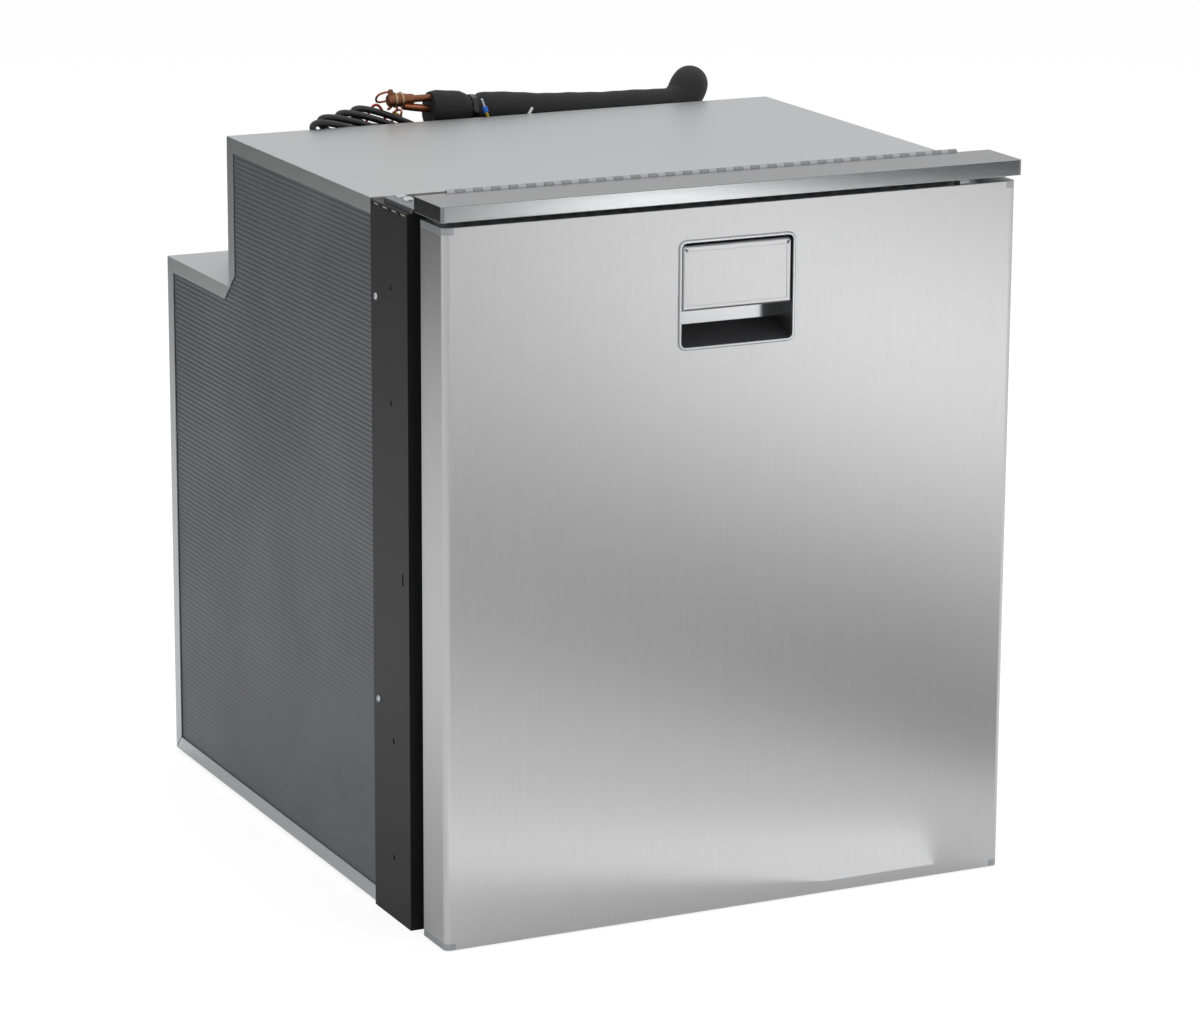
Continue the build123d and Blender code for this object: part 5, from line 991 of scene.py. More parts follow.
@dataclass
class Handle:
    """The bezel, tray, paddle and latch."""

    bezel_rounding: float = 0.35
    tray_rounding: float = 0.3
    pin_rounding: float = 0.1
    bolt_rounding: float = 0.25
    paddle_rounding: float = 0.3
    # The flat border round the paddle's face, the step down inside it and the corner that closes up
    border: float = 3.0
    border_depth: float = 0.5
    border_slope: float = 0.7
    corner: float = 1.6

    def build(self) -> None:
        """Makes every piece of the handle."""
        refine("handle_bezel", "drawer", Material.SATIN_CHROME, self.bezel_rounding, 3)
        tray = refine("handle_tray", "drawer", Material.TRAY, self.tray_rounding)
        paint_facing(tray, FRONT, Material.STEEL_ALONG)
        refine("paddle_pin", "drawer", Material.ZINC, self.pin_rounding)
        refine("latch_bolt", "latch", Material.ZINC, self.bolt_rounding)
        paddle = new_object("handle_paddle_piece", merged_copy("handle_paddle"), Material.STEEL_UP)
        paddle.data.materials.append(PALETTE.get(Material.BLACK_PLASTIC))
        self._cut_border(paddle)
        place(evened(smooth(bevelled(paddle, self.paddle_rounding, 3))), "handle", "handle_paddle")

    @staticmethod
    def _largest_face(work: bmesh.types.BMesh, level: float) -> bmesh.types.BMFace:
        """Finds the largest face in an upright plane.

        Args:
            work: The mesh.
            level: The plane's distance behind the middle, in metres.

        Returns:
            The face.
        """
        flat = [face for face in work.faces if abs(face.calc_center_median().y - level) < SAME_PLANE]
        return max(flat, key=lambda face: face.calc_area())

    def _cut_border(self, paddle: bpy.types.Object) -> None:
        """Draws the raised border round the paddle's face and darkens its back.

        Args:
            paddle: The paddle, whose second material is that of its back.
        """
        work = bmesh.new()
        work.from_mesh(paddle.data)
        work.faces.ensure_lookup_table()
        front = min(work.faces, key=lambda face: (round(face.calc_center_median().y, 5), -face.calc_area()))
        level = front.calc_center_median().y
        face = self._largest_face(work, level)
        for other in work.faces:
            if other.normal.y > 0.5:
                other.material_index = 1
        bmesh.ops.inset_individual(work, faces=[face], thickness=self.border * MM, depth=0.0)
        bmesh.ops.remove_doubles(work, verts=list(face.verts), dist=self.corner * MM)
        face = self._largest_face(work, level)
        slope, depth = self.border_slope * MM, self.border_depth * MM
        bmesh.ops.inset_individual(work, faces=[face], thickness=slope, depth=-depth)
        work.to_mesh(paddle.data)
        work.free()


@dataclass
class TopFlap:
    """The hinged flap and its piano hinge."""

    flap_rounding: float = 0.55
    length: float = 430.0
    knuckle: float = 6.9
    gap: float = 0.2
    radius: float = 2.75
    bore_radius: float = 1.33
    knuckle_edge: float = 0.35
    knuckle_reach: float = 3.25
    pin_radius: float = 1.2
    pin_end_radius: float = 0.9
    pin_end: float = 0.4

    def build(self) -> None:
        """Makes the flap, both leaves with their knuckles, and the pin."""
        refine("top_flap", "flap", Material.STEEL_ALONG, self.flap_rounding, 3)
        low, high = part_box("hinge_pin")
        line = (low + high) / 2
        pitch = (self.knuckle + self.gap) * MM
        count = int(self.length * MM / pitch)
        start = -count * pitch / 2
        # The fixed knuckles are in a lighter copy of the hinge steel: a painted highlight
        for first, body, node, finish in (
            (0, "cabinet", "hinge_fixed_leaf", Material.HINGE_BRIGHT),
            (1, "flap", "hinge_moving_leaf", Material.HINGE_STEEL),
        ):
            barrel = self._barrel(Vector((start + first * pitch, line.y, line.z)))
            row = repeated(f"{node}_knuckles", barrel, (count - first + 1) // 2, RIGHT * 2 * pitch, finish)
            place(merge_objects(f"{node}_piece", [self._leaf(node, line), row]), body, node)
        long = (high.x - low.x) / MM
        profile = (
            (0.0, self.pin_end_radius),
            (self.pin_end, self.pin_radius),
            (long - self.pin_end, self.pin_radius),
            (long, self.pin_end_radius),
        )
        pin = lathe("hinge_pin_piece", profile, Vector((low.x, line.y, line.z)), RIGHT, Material.ZINC, sides=20)
        place(pin, "cabinet", "hinge_pin")

    def _barrel(self, seat: Vector) -> bpy.types.Object:
        """Turns one knuckle, a short tube with softened ends.

        Args:
            seat: The middle of its left end, in metres.

        Returns:
            The knuckle.
        """
        profile = (
            (0.0, self.bore_radius),
            (0.0, self.radius - self.knuckle_edge),
            (self.knuckle_edge, self.radius),
            (self.knuckle - self.knuckle_edge, self.radius),
            (self.knuckle, self.radius - self.knuckle_edge),
            (self.knuckle, self.bore_radius),
        )
        return lathe("knuckle", profile, seat, RIGHT, Material.HINGE_STEEL, sides=24)

    def _leaf(self, node: str, line: Vector) -> bpy.types.Object:
        """Cuts the flat part of a hinge leaf from the CAD leaf, outside its knuckles.

        Args:
            node: The CAD node of the leaf.
            line: A point on the hinge's line, in metres.

        Returns:
            The flat part.
        """
        work = merged_shape(node)
        reach = self.knuckle_reach * MM
        doomed = [
            face
            for face in work.faces
            if all(math.hypot(vertex.co.y - line.y, vertex.co.z - line.z) < reach for vertex in face.verts)
        ]
        bmesh.ops.delete(work, geom=doomed, context="FACES")
        mesh = bpy.data.meshes.new(f"{node}_leaf")
        work.to_mesh(mesh)
        work.free()
        # The flat part is darkened as painted shade, for the shadow behind the knuckles
        return smooth(new_object(f"{node}_leaf", mesh, Material.HINGE_SHADE))


@dataclass
class Runners:
    """The telescopic slides, the drawer's side brackets and the baskets."""

    slide_rounding: float = 0.25
    bracket_rounding: float = 0.35
    basket_rounding: float = 0.7

    def build(self) -> None:
        """Makes both sides and both baskets."""
        for side in ("left", "right"):
            for member, body in (("outer", "cabinet"), ("middle", f"slide_{side}"), ("inner", "drawer")):
                refine(f"slide_{member}_{side}", body, Material.ZINC, self.slide_rounding)
            refine(f"drawer_bracket_{side}", "drawer", Material.ZINC, self.bracket_rounding)
        for level in ("lower", "upper"):
            refine(f"{level}_basket", "drawer", Material.BASKET_PLASTIC, self.basket_rounding)


@dataclass
class ColdFittings:
    """What is fixed in the cold space."""

    plate_rounding: float = 0.4
    housing_rounding: float = 1.2
    knob_rounding: float = 0.4
    lens_rounding: float = 0.5

    def build(self) -> None:
        """Makes the cold plate, the thermostat housing, its knob and the lamp lens."""
        refine("evaporator_plate", "cabinet", Material.ALUMINIUM, self.plate_rounding)
        refine("thermostat_housing", "cabinet", Material.WHITE_LINER, self.housing_rounding, 3)
        refine("thermostat_knob", "knob", Material.GREY_PLASTIC, self.knob_rounding)
        refine("lamp_lens", "cabinet", Material.LENS, self.lens_rounding)


@dataclass
class CoolingUnit:
    """The compressor, electronic unit, condenser, fan and drier on the rear step."""

    base_rounding: float = 0.4
    foot_rounding: float = 0.8
    unit_rounding: float = 0.6
    fan_rounding: float = 0.4
    rotor_rounding: float = 0.3

    # The can is oval: half its width and depth, its outline as shares of its height and of these, and its sides
    can_half: tuple[float, float] = (71.0, 53.0)
    can_shape: Pairs = (
        (0.0, 0.55), (0.01, 0.70), (0.04, 0.86), (0.10, 0.965), (0.16, 1.0), (0.44, 1.0), (0.45, 1.035),
        (0.49, 1.035), (0.50, 1.0), (0.70, 0.99), (0.80, 0.955), (0.88, 0.885), (0.94, 0.78), (0.98, 0.64),
        (1.0, 0.44),
    )  # fmt: skip
    can_sides: int = 72
    # Each stub's place from the middle of the can's bottom, its direction and its length
    stubs: tuple[tuple[Point, Vector, float], ...] = (
        ((-14.0, -44.0, 24.0), FRONT, 12.0),
        ((-47.0, -14.0, 62.0), UP, 22.0),
        ((66.0, 0.0, 34.0), RIGHT, 17.0),
    )
    stub_radius: float = 4.5
    stub_end_radius: float = 3.6
    stub_end: float = 1.0

    fins: int = 48
    fin_thickness: float = 0.4
    fin_rounding: float = 0.05
    tube_wall_half: float = 3.4
    tube_wall_inset: float = 0.2
    tube_wall_rounding: float = 0.5

    # The condenser's tubes: radius, place, the heights that each bend joins, and the two pipes' heights and plane.
    # The liquid pipe has a share of the radius.
    tube_radius: float = 3.0
    condenser_middle: float = -178.0
    condenser_front: float = 165.0
    bend_reach: float = 11.0
    bend_heights: Pairs = ((441.7, 455.4), (469.1, 482.9), (496.6, 510.3))
    discharge_height: float = 460.0
    liquid_height: float = 435.0
    liquid_share: float = 0.8
    pipes_y: float = 146.9

    # The drier's outline as shares of its length and radii
    drier_shape: Pairs = (
        (0.0, 3.2), (0.06, 3.2), (0.09, 3.6), (0.14, 5.4), (0.20, 7.3), (0.26, 8.0), (0.74, 8.0), (0.80, 7.3),
        (0.86, 5.4), (0.91, 3.6), (0.94, 3.2), (1.0, 3.2),
    )  # fmt: skip

    def build(self) -> None:
        """Makes every piece on the step."""
        self._compressor()
        refine("compressor_base", "cabinet", Material.ZINC, self.base_rounding)
        refine("compressor_feet", "cabinet", Material.RUBBER, self.foot_rounding)
        refine("electronic_unit", "cabinet", Material.BLACK_PLASTIC, self.unit_rounding)
        self._condenser()
        refine("fan_housing", "cabinet", Material.BLACK_PLASTIC, self.fan_rounding)
        refine("fan_rotor", "fan", Material.BLACK_PLASTIC, self.rotor_rounding)
        self._drier()
        self._bends()
        self._pipes()

    def _compressor(self) -> None:
        """Makes the oval can as a skin over ellipses, with its seam, and then its stubs."""
        base_low, base_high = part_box("compressor_base")
        low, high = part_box("compressor")
        foot = (base_low + base_high) / 2
        foot.z = low.z
        across, deep = RIGHT * self.can_half[0] * MM, BACK * self.can_half[1] * MM
        rings = [
            ring(foot + UP * (high.z - low.z) * level, across, deep, share, self.can_sides)
            for level, share in self.can_shape
        ]
        place(skin("compressor_piece", rings, Material.CAN, TUBE_SHARP), "cabinet", "compressor")
        for index, (seat, along, length) in enumerate(self.stubs):
            radius = self.stub_radius
            profile = ((0.0, radius), (length - self.stub_end, radius), (length, self.stub_end_radius))
            start = foot + Vector(seat) * MM
            place(lathe(f"compressor_stub_{index}", profile, start, along, Material.COPPER, sides=24), "cabinet")

    def _condenser(self) -> None:
        """Makes the fins as a repeated thin plate, with the upright wall of tubes between them."""
        low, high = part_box("condenser")
        thin = self.fin_thickness * MM
        plate = Vector((high.x, low.y + thin, high.z))
        fin = slab("fin", low, plate, Material.ALUMINIUM, self.fin_rounding)
        step = (high.y - low.y - thin) / (self.fins - 1)
        row = repeated("condenser_fins", fin, self.fins, BACK * step, Material.ALUMINIUM)
        middle = (low.x + high.x) / 2
        half, inset = self.tube_wall_half * MM, self.tube_wall_inset * MM
        wall = slab(
            "condenser_wall",
            Vector((middle - half, low.y + inset, low.z + inset)),
            Vector((middle + half, high.y - inset, high.z - inset)),
            Material.ALUMINIUM,
            self.tube_wall_rounding,
        )
        place(merge_objects("condenser_piece", [row, wall]), "cabinet", "condenser")

    def _bends(self) -> None:
        """Makes the hairpin bends at the condenser's front."""
        x, face = self.condenser_middle, self.condenser_front
        reach = face - self.bend_reach
        made = []
        for low, high in self.bend_heights:
            points = ((x, face, low), (x, reach, low), (x, reach, high), (x, face, high))
            made.append(copper_tube("condenser_bend", points, 2 * self.tube_radius))
        place(merge_objects("condenser_bends_piece", made), "cabinet", "condenser_bends")

    def _pipes(self) -> None:
        """Makes the discharge pipe from the compressor and the liquid pipe to the drier, by their CAD routes."""
        x, face, wall = self.condenser_middle, self.condenser_front, self.pipes_y
        hot, cool = self.discharge_height, self.liquid_height
        discharge = (
            (10, 156.3, hot), (10, wall, hot), (0, wall, hot), (x + 20, wall, hot), (x + 10, wall, hot),
            (x + 10, face, hot),
        )  # fmt: skip
        liquid = (
            (x, face, cool), (x, wall, cool), (x + 18, wall, cool), (-69, wall, cool), (-51, wall, cool),
            (-51, wall + 18, cool), (-51, 232, cool), (-51, 246.3, cool), (-72, 260.3, cool), (-72, 260.3, cool + 7),
        )  # fmt: skip
        made = [
            copper_tube("discharge_pipe", discharge, 2 * self.tube_radius),
            copper_tube("liquid_pipe", liquid, 2 * self.liquid_share * self.tube_radius),
        ]
        place(merge_objects("condenser_pipes_piece", made), "cabinet", "condenser_pipes")

    def _drier(self) -> None:
        """Makes the spun copper drier."""
        low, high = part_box("filter_drier")
        middle = (low + high) / 2
        long = (high.z - low.z) / MM
        profile = tuple((share * long, radius) for share, radius in self.drier_shape)
        foot = Vector((middle.x, middle.y, low.z))
        place(lathe("filter_drier_piece", profile, foot, UP, Material.COPPER), "cabinet", "filter_drier")


@dataclass
class RearLayout:
    """Sizes of the rear step that the lines and leads share."""

    half_width: float = 241.5
    cabinet_top: float = 550.0
    step_height: float = 428.0
    recess_y: float = 139.9
    back_y: float = 280.3
    unit_left: float = -132.0
    unit_right: float = -60.0
    unit_height: float = 96.0

    @property
    def unit_top(self) -> float:
        """The height of the electronic unit's top."""
        return self.step_height + self.unit_height


@dataclass
class SuctionLine:
    """The foam sleeve with its tie, the joint, and the copper lines."""

    layout: RearLayout = field(default_factory=RearLayout)
    tie_rounding: float = 0.3
    # The sleeve: its radius, how far its skin lies in, its neck at the tie and its rim
    radius: float = 16.0
    skin_inset: float = 0.4
    neck: float = 12.0
    neck_from_end: float = 37.0
    neck_reach: float = 5.5
    rim: float = 1.2
    rim_length: float = 0.5
    set_back: float = 26.1
    # Each wave of the uneven foam: its height and its turn for each millimetre of length, in radians
    waves: Pairs = ((0.25, 0.11), (0.15, 0.31))
    # The copper pipe: its diameter, its first points from left to right and in height, and its end on the cold plate
    pipe: float = 6.4
    pipe_starts: Pairs = ((-78.0, 559.3), (-61.0, 555.5))
    plate_x: float = 155.0
    plate_y: float = 94.4
    # The joint: its place, its turned body, its filler ring with the places of both, its nub and its pipe
    joint_from_unit: float = 31.4
    joint_rise: float = 14.5
    joint_shape: Pairs = ((0, 4.2), (1.2, 5.4), (5.0, 5.6), (12.7, 5.6), (15.5, 4.6), (21.6, 4.2), (23.4, 3.4))
    ring_shape: Pairs = ((0, 5.5), (0.5, 6.4), (1.1, 6.6), (1.7, 6.4), (2.2, 5.5))
    ring_places: tuple[float, ...] = (5.0, 10.5)
    nub_shape: Pairs = ((0, 2.1), (8.2, 2.1), (9.0, 1.4))
    nub_place: float = 2.6
    joint_pipe_shape: Pairs = ((0, 3.0), (22.4, 3.0))
    joint_pipe_place: float = 22.4
    # The capillary: its diameter, its coil and the steps in each turn
    capillary: float = 1.9
    turns: int = 3
    coil_half: float = 3.6
    # A spline runs inside its points, so the coil's points lie this much further out
    coil_wider: float = 1.05
    turn_steps: int = 12

    def build(self) -> None:
        """Makes the sleeve and what goes with it."""
        self._sleeve()
        refine("sleeve_tie", "cabinet", Material.NYLON, self.tie_rounding)
        self._joint()
        self._pipe()
        self._capillary()

    @property
    def y(self) -> float:
        """The sleeve's distance behind the middle of the appliance."""
        return self.layout.recess_y + self.set_back

    def route(self) -> list[Vector]:
        """Lists the sleeve's route from its free end to the wall.

        Returns:
            The points, in metres.
        """
        lay = self.layout
        end = (lay.unit_right + 5, lay.cabinet_top + 5)
        join = (lay.unit_right + 80, lay.cabinet_top - 1.5)
        slope = (join[1] - end[1]) / (join[0] - end[0])
        pass_x = lay.half_width - 59.5
        pass_z = lay.cabinet_top - 64
        points = [
            (end[0], self.y, end[1]),
            (join[0], self.y, join[1]),
            (join[0] + 46, self.y, join[1] + 46 * slope),
            (pass_x + 13 - 46, self.y, lay.cabinet_top - 7.5),
            (pass_x - 8, self.y + 1, lay.cabinet_top - 7),
            (pass_x + 4, self.y + 8, lay.cabinet_top + 7),
            (pass_x + 14, self.y + 24, lay.cabinet_top + 8),
            (pass_x + 16, self.y + 56, lay.cabinet_top - 22),
            (pass_x, lay.recess_y + 65, pass_z),
            (pass_x, lay.recess_y, pass_z),
        ]
        return [Vector(point) * MM for point in points]

    def _sleeve(self) -> None:
        """Sweeps the sleeve, drawn in at the tie and slightly uneven as foam is."""
        path = spline_points(self.route(), soft=24)
        radii = []
        travelled = 0.0
        for index, point in enumerate(path):
            if index:
                travelled += (point - path[index - 1]).length / MM
            away = abs(travelled - self.neck_from_end)
            pinch = (self.radius - self.neck) / (1 + (away / self.neck_reach) ** 4)
            wave = sum(height * math.sin(travelled * pace) for height, pace in self.waves)
            rim = self.rim if travelled < self.rim_length else 0.0
            radii.append((self.radius - self.skin_inset - pinch + wave - rim) * MM)
        sleeve = sweep("suction_sleeve_piece", path, radii, Material.FOAM_SLEEVE, sides=40)
        place(sleeve, "cabinet", "suction_sleeve")

    def _pipe(self) -> None:
        """Makes the copper pipe from the joint through the sleeve and the wall to the cold plate."""
        wall_end = self.route()[-2]
        plate_y = self.plate_y * MM
        points = [
            *(Vector((x, self.y, z)) * MM for x, z in self.pipe_starts),
            *self.route()[1:-1],
            Vector((wall_end.x, plate_y, wall_end.z)),
            Vector((self.plate_x * MM, plate_y, wall_end.z)),
        ]
        place(tube("suction_line_piece", points, self.pipe * MM, Material.COPPER), "cabinet", "suction_line")

    def _joint(self) -> None:
        """Makes the joint body with its rings, its nub and its pipe."""
        start = self.layout.unit_right - self.joint_from_unit
        height = self.layout.cabinet_top + self.joint_rise
        parts = [
            ("body", self.joint_shape, 0.0, RIGHT, Material.BROWNED, 40),
            ("nub", self.nub_shape, self.nub_place, UP, Material.BROWNED, 20),
            ("pipe", self.joint_pipe_shape, self.joint_pipe_place, RIGHT, Material.BROWNED, 24),
        ]
        parts += [("ring", self.ring_shape, along, RIGHT, Material.FILLER, 40) for along in self.ring_places]
        made = [
            lathe(f"joint_{part}", shape, Vector((start + along, self.y, height)) * MM, direction, finish, sides)
            for part, shape, along, direction, finish, sides in parts
        ]
        place(merge_objects("line_joint_piece", made), "cabinet", "line_joint")

    def _capillary(self) -> None:
        """Makes the thin tube from the nub, wound into its small coil and led to the drier."""
        lay = self.layout
        height = lay.cabinet_top + self.joint_rise
        nub_x = lay.unit_right - self.joint_from_unit + self.nub_place - self.nub_shape[0][1]
        start = Vector((lay.unit_right - 25, self.y + 12.8, lay.cabinet_top + 10))
        end = Vector((lay.unit_right - 14, self.y + 12.8, lay.cabinet_top - 2.5))
        upward = BACK.cross((end - start).normalized()).normalized()
        steps = self.turn_steps * self.turns
        points = [
            Vector((nub_x - 0.2, self.y, height + 7)),
            Vector((nub_x - 8, self.y + 3, height + 6)),
            Vector((nub_x - 8, self.y + 9, height - 3)),
        ]
        for index in range(steps + 1):
            angle = math.pi / 4 + 2 * math.pi * index / self.turn_steps
            offset = BACK * math.cos(angle) - upward * math.sin(angle)
            points.append(start.lerp(end, index / steps) + offset * self.coil_half * self.coil_wider)
        drier_y = lay.back_y - 20
        drier_x = lay.unit_right - 12
        points += [
            Vector((drier_x, self.y + 32, lay.unit_top + 8)),
            Vector((drier_x, drier_y - 12, lay.unit_top + 7)),
            Vector((drier_x, drier_y, lay.unit_top + 4)),
            Vector((drier_x, drier_y, lay.step_height + 84)),
        ]
        route = [point * MM for point in points]
        thin = tube("capillary_tube_piece", route, self.capillary * MM, Material.COPPER, soft=6)
        place(thin, "cabinet", "capillary_tube")


@dataclass
class SupplyLead:
    """The black supply lead: its hank of loops, its free stretch and its bare cores."""

    layout: RearLayout = field(default_factory=RearLayout)
    diameter: float = 5.5
    # The hank: its loops, each loop's length, half its width, and from one loop to the next
    loops: int = 4
    length: float = 48.0
    half: float = 6.6
    step_x: float = 18.0
    step_y: float = 6.6
    step_z: float = 1.4
    from_unit: float = 29.0
    above_top: float = 2.5
    from_wall: float = 0.8
    above_unit: float = 0.2
    # How far right of its solid each loop is drawn, as it is seen
    moved_right: tuple[float, ...] = (10.0, 10.0, 8.0, 5.0)
    # The cores: their diameter and spacing, and each tip from the lead's end with its finish
    core: float = 2.3
    core_spacing: float = 1.4
    tips: tuple[tuple[float, float, Material], ...] = (
        (-18.0, 25.5, Material.CORE_YELLOW),
        (23.5, 26.5, Material.CORE_WHITE),
        (8.0, 18.0, Material.SHEATH),
    )
    collar_shape: Pairs = ((0, 1.5), (0.4, 2.2), (4.4, 2.0), (5, 1.3))
    pin_shape: Pairs = ((0, 1.0), (6.7, 1.0), (7, 0.7))
    # The wires over the unit: each one's arch from the unit's right end and top, its place and its finish
    wires: tuple[tuple[Pairs, float, Material], ...] = (
        (((-43, 0), (-43, 22), (-33, 38), (-23, 22), (-23, 0)), 47.0, Material.CORE_RED),
        (((-17, 0), (-17, 14), (-11, 27), (-5, 14), (-5, 0)), 56.0, Material.CORE_YELLOW),
    )

    def build(self) -> None:
        """Makes the lead, its cores and the wires over the unit."""
        route = self.route()
        lead = tube("supply_lead_piece", route, self.diameter * MM, Material.SHEATH, soft=12, keep=True)
        place(lead, "cabinet", "supply_lead")
        cores = self._cores(route[-1])
        self._measure(route)
        self._wires()

    @staticmethod
    def _measure(route: list[Vector]) -> float:
        """Measures the lead along its rounded route, in metres."""
        path = spline_points(route)
        return sum((far - near).length for near, far in zip(path, path[1:]))

    def _corners(self, index: int) -> tuple[tuple[Vector, Vector], tuple[Vector, Vector]]:
        """Finds the corners of one loop.

        Args:
            index: The loop's number, from the wall outwards.

        Returns:
            The upper and the lower pair of corners, each from left to right, in millimetres.
        """
        lay = self.layout
        radius = self.diameter / 2
        left = Vector(
            (
                lay.unit_left - self.from_unit + self.moved_right[index] + index * self.step_x,
                lay.recess_y + self.from_wall + radius + (index + 1) * self.step_y,
                lay.cabinet_top + self.above_top + index * self.step_z,
            )
        )
        drop = left.z - (lay.unit_top + self.above_unit + self.half + radius)
        right = left + Vector((math.sqrt(self.length**2 - drop**2), 0, -drop))
        along = (right - left).normalized()
        upward = BACK.cross(along)
        if upward.z < 0:
            upward = -upward
        lift = upward * self.half
        reach = along * self.half
        return (left + lift - reach, right + lift + reach), (left - lift - reach, right - lift + reach)

    def route(self) -> list[Vector]:
        """Lists the whole route of the lead.

        Returns:
            The points, in metres, from the unit to the bare end.
        """
        lay = self.layout
        last = self.loops - 1
        lower_left, lower_right = self._corners(last)[1]
        x = lay.unit_left + 8
        y = lay.recess_y + 50
        points = [
            Vector((x, y, lay.unit_top + 5)),
            Vector((x, y, lay.unit_top + 17)),
            lower_left + (lower_right - lower_left) * 0.35,
        ]
        shift = FRONT * 0.6 * self.step_y
        for index in range(last, -1, -1):
            upper, lower = self._corners(index)
            following = self._corners(max(index - 1, 0))
            leave = Vector((0, 0, 0)) if index else Vector((-9, -6.6, -3))
            points += [lower[1], upper[1] + shift, following[0][0] + leave, following[1][0] + leave]
        wall_y = lay.recess_y + self.from_wall + self.diameter / 2
        end_x = lay.unit_right + 64
        end_z = lay.cabinet_top - 22
        points += [
            Vector((lay.unit_right - 52, wall_y, lay.unit_top - 22)),
            Vector((lay.unit_right + 10, wall_y, lay.unit_top - 30)),
            Vector((end_x, wall_y + 1, end_z - 12)),
            Vector((end_x, wall_y + 1, end_z)),
        ]
        return [point * MM for point in points]

    def _cores(self, end: Vector) -> list[bpy.types.Object]:
        """Makes the bare cores at the lead's end, the first with its ferrule and pin.

        Args:
            end: The lead's end, in metres.

        Returns:
            The piece of all cores, alone in a list.
        """
        made = []
        for index, (across, rise, finish) in enumerate(self.tips):
            seat = end + RIGHT * (index - 1) * self.core_spacing * MM
            tip = end + Vector((across, -1.4, rise)) * MM
            bend = end + Vector((across * 0.75, -0.7, rise * 0.55)) * MM
            route = [seat, seat + UP * 6 * MM, bend, tip]
            made.append(tube(f"core_{index}", route, self.core * MM, finish))
            if index == 0:
                along = (tip - bend).normalized()
                collar_end = tip + along * self.collar_shape[-1][0] * MM
                made.append(lathe("ferrule_collar", self.collar_shape, tip, along, Material.FERRULE, sides=20))
                made.append(lathe("ferrule_pin", self.pin_shape, collar_end, along, Material.ZINC, sides=16))
        cores = merge_objects("lead_cores_piece", made)
        place(cores, "cabinet", "lead_cores")
        return [cores]

    def _wires(self) -> None:
        """Makes the two thin wires that arch over the electronic unit."""
        lay = self.layout
        made = []
        for outline, y, finish in self.wires:
            points = [Vector((lay.unit_right + x, lay.recess_y + y, lay.unit_top + z)) * MM for x, z in outline]
            made.append(tube("wire", points, self.core * MM, finish))
        place(merge_objects("unit_wires_piece", made), "cabinet", "unit_wires")


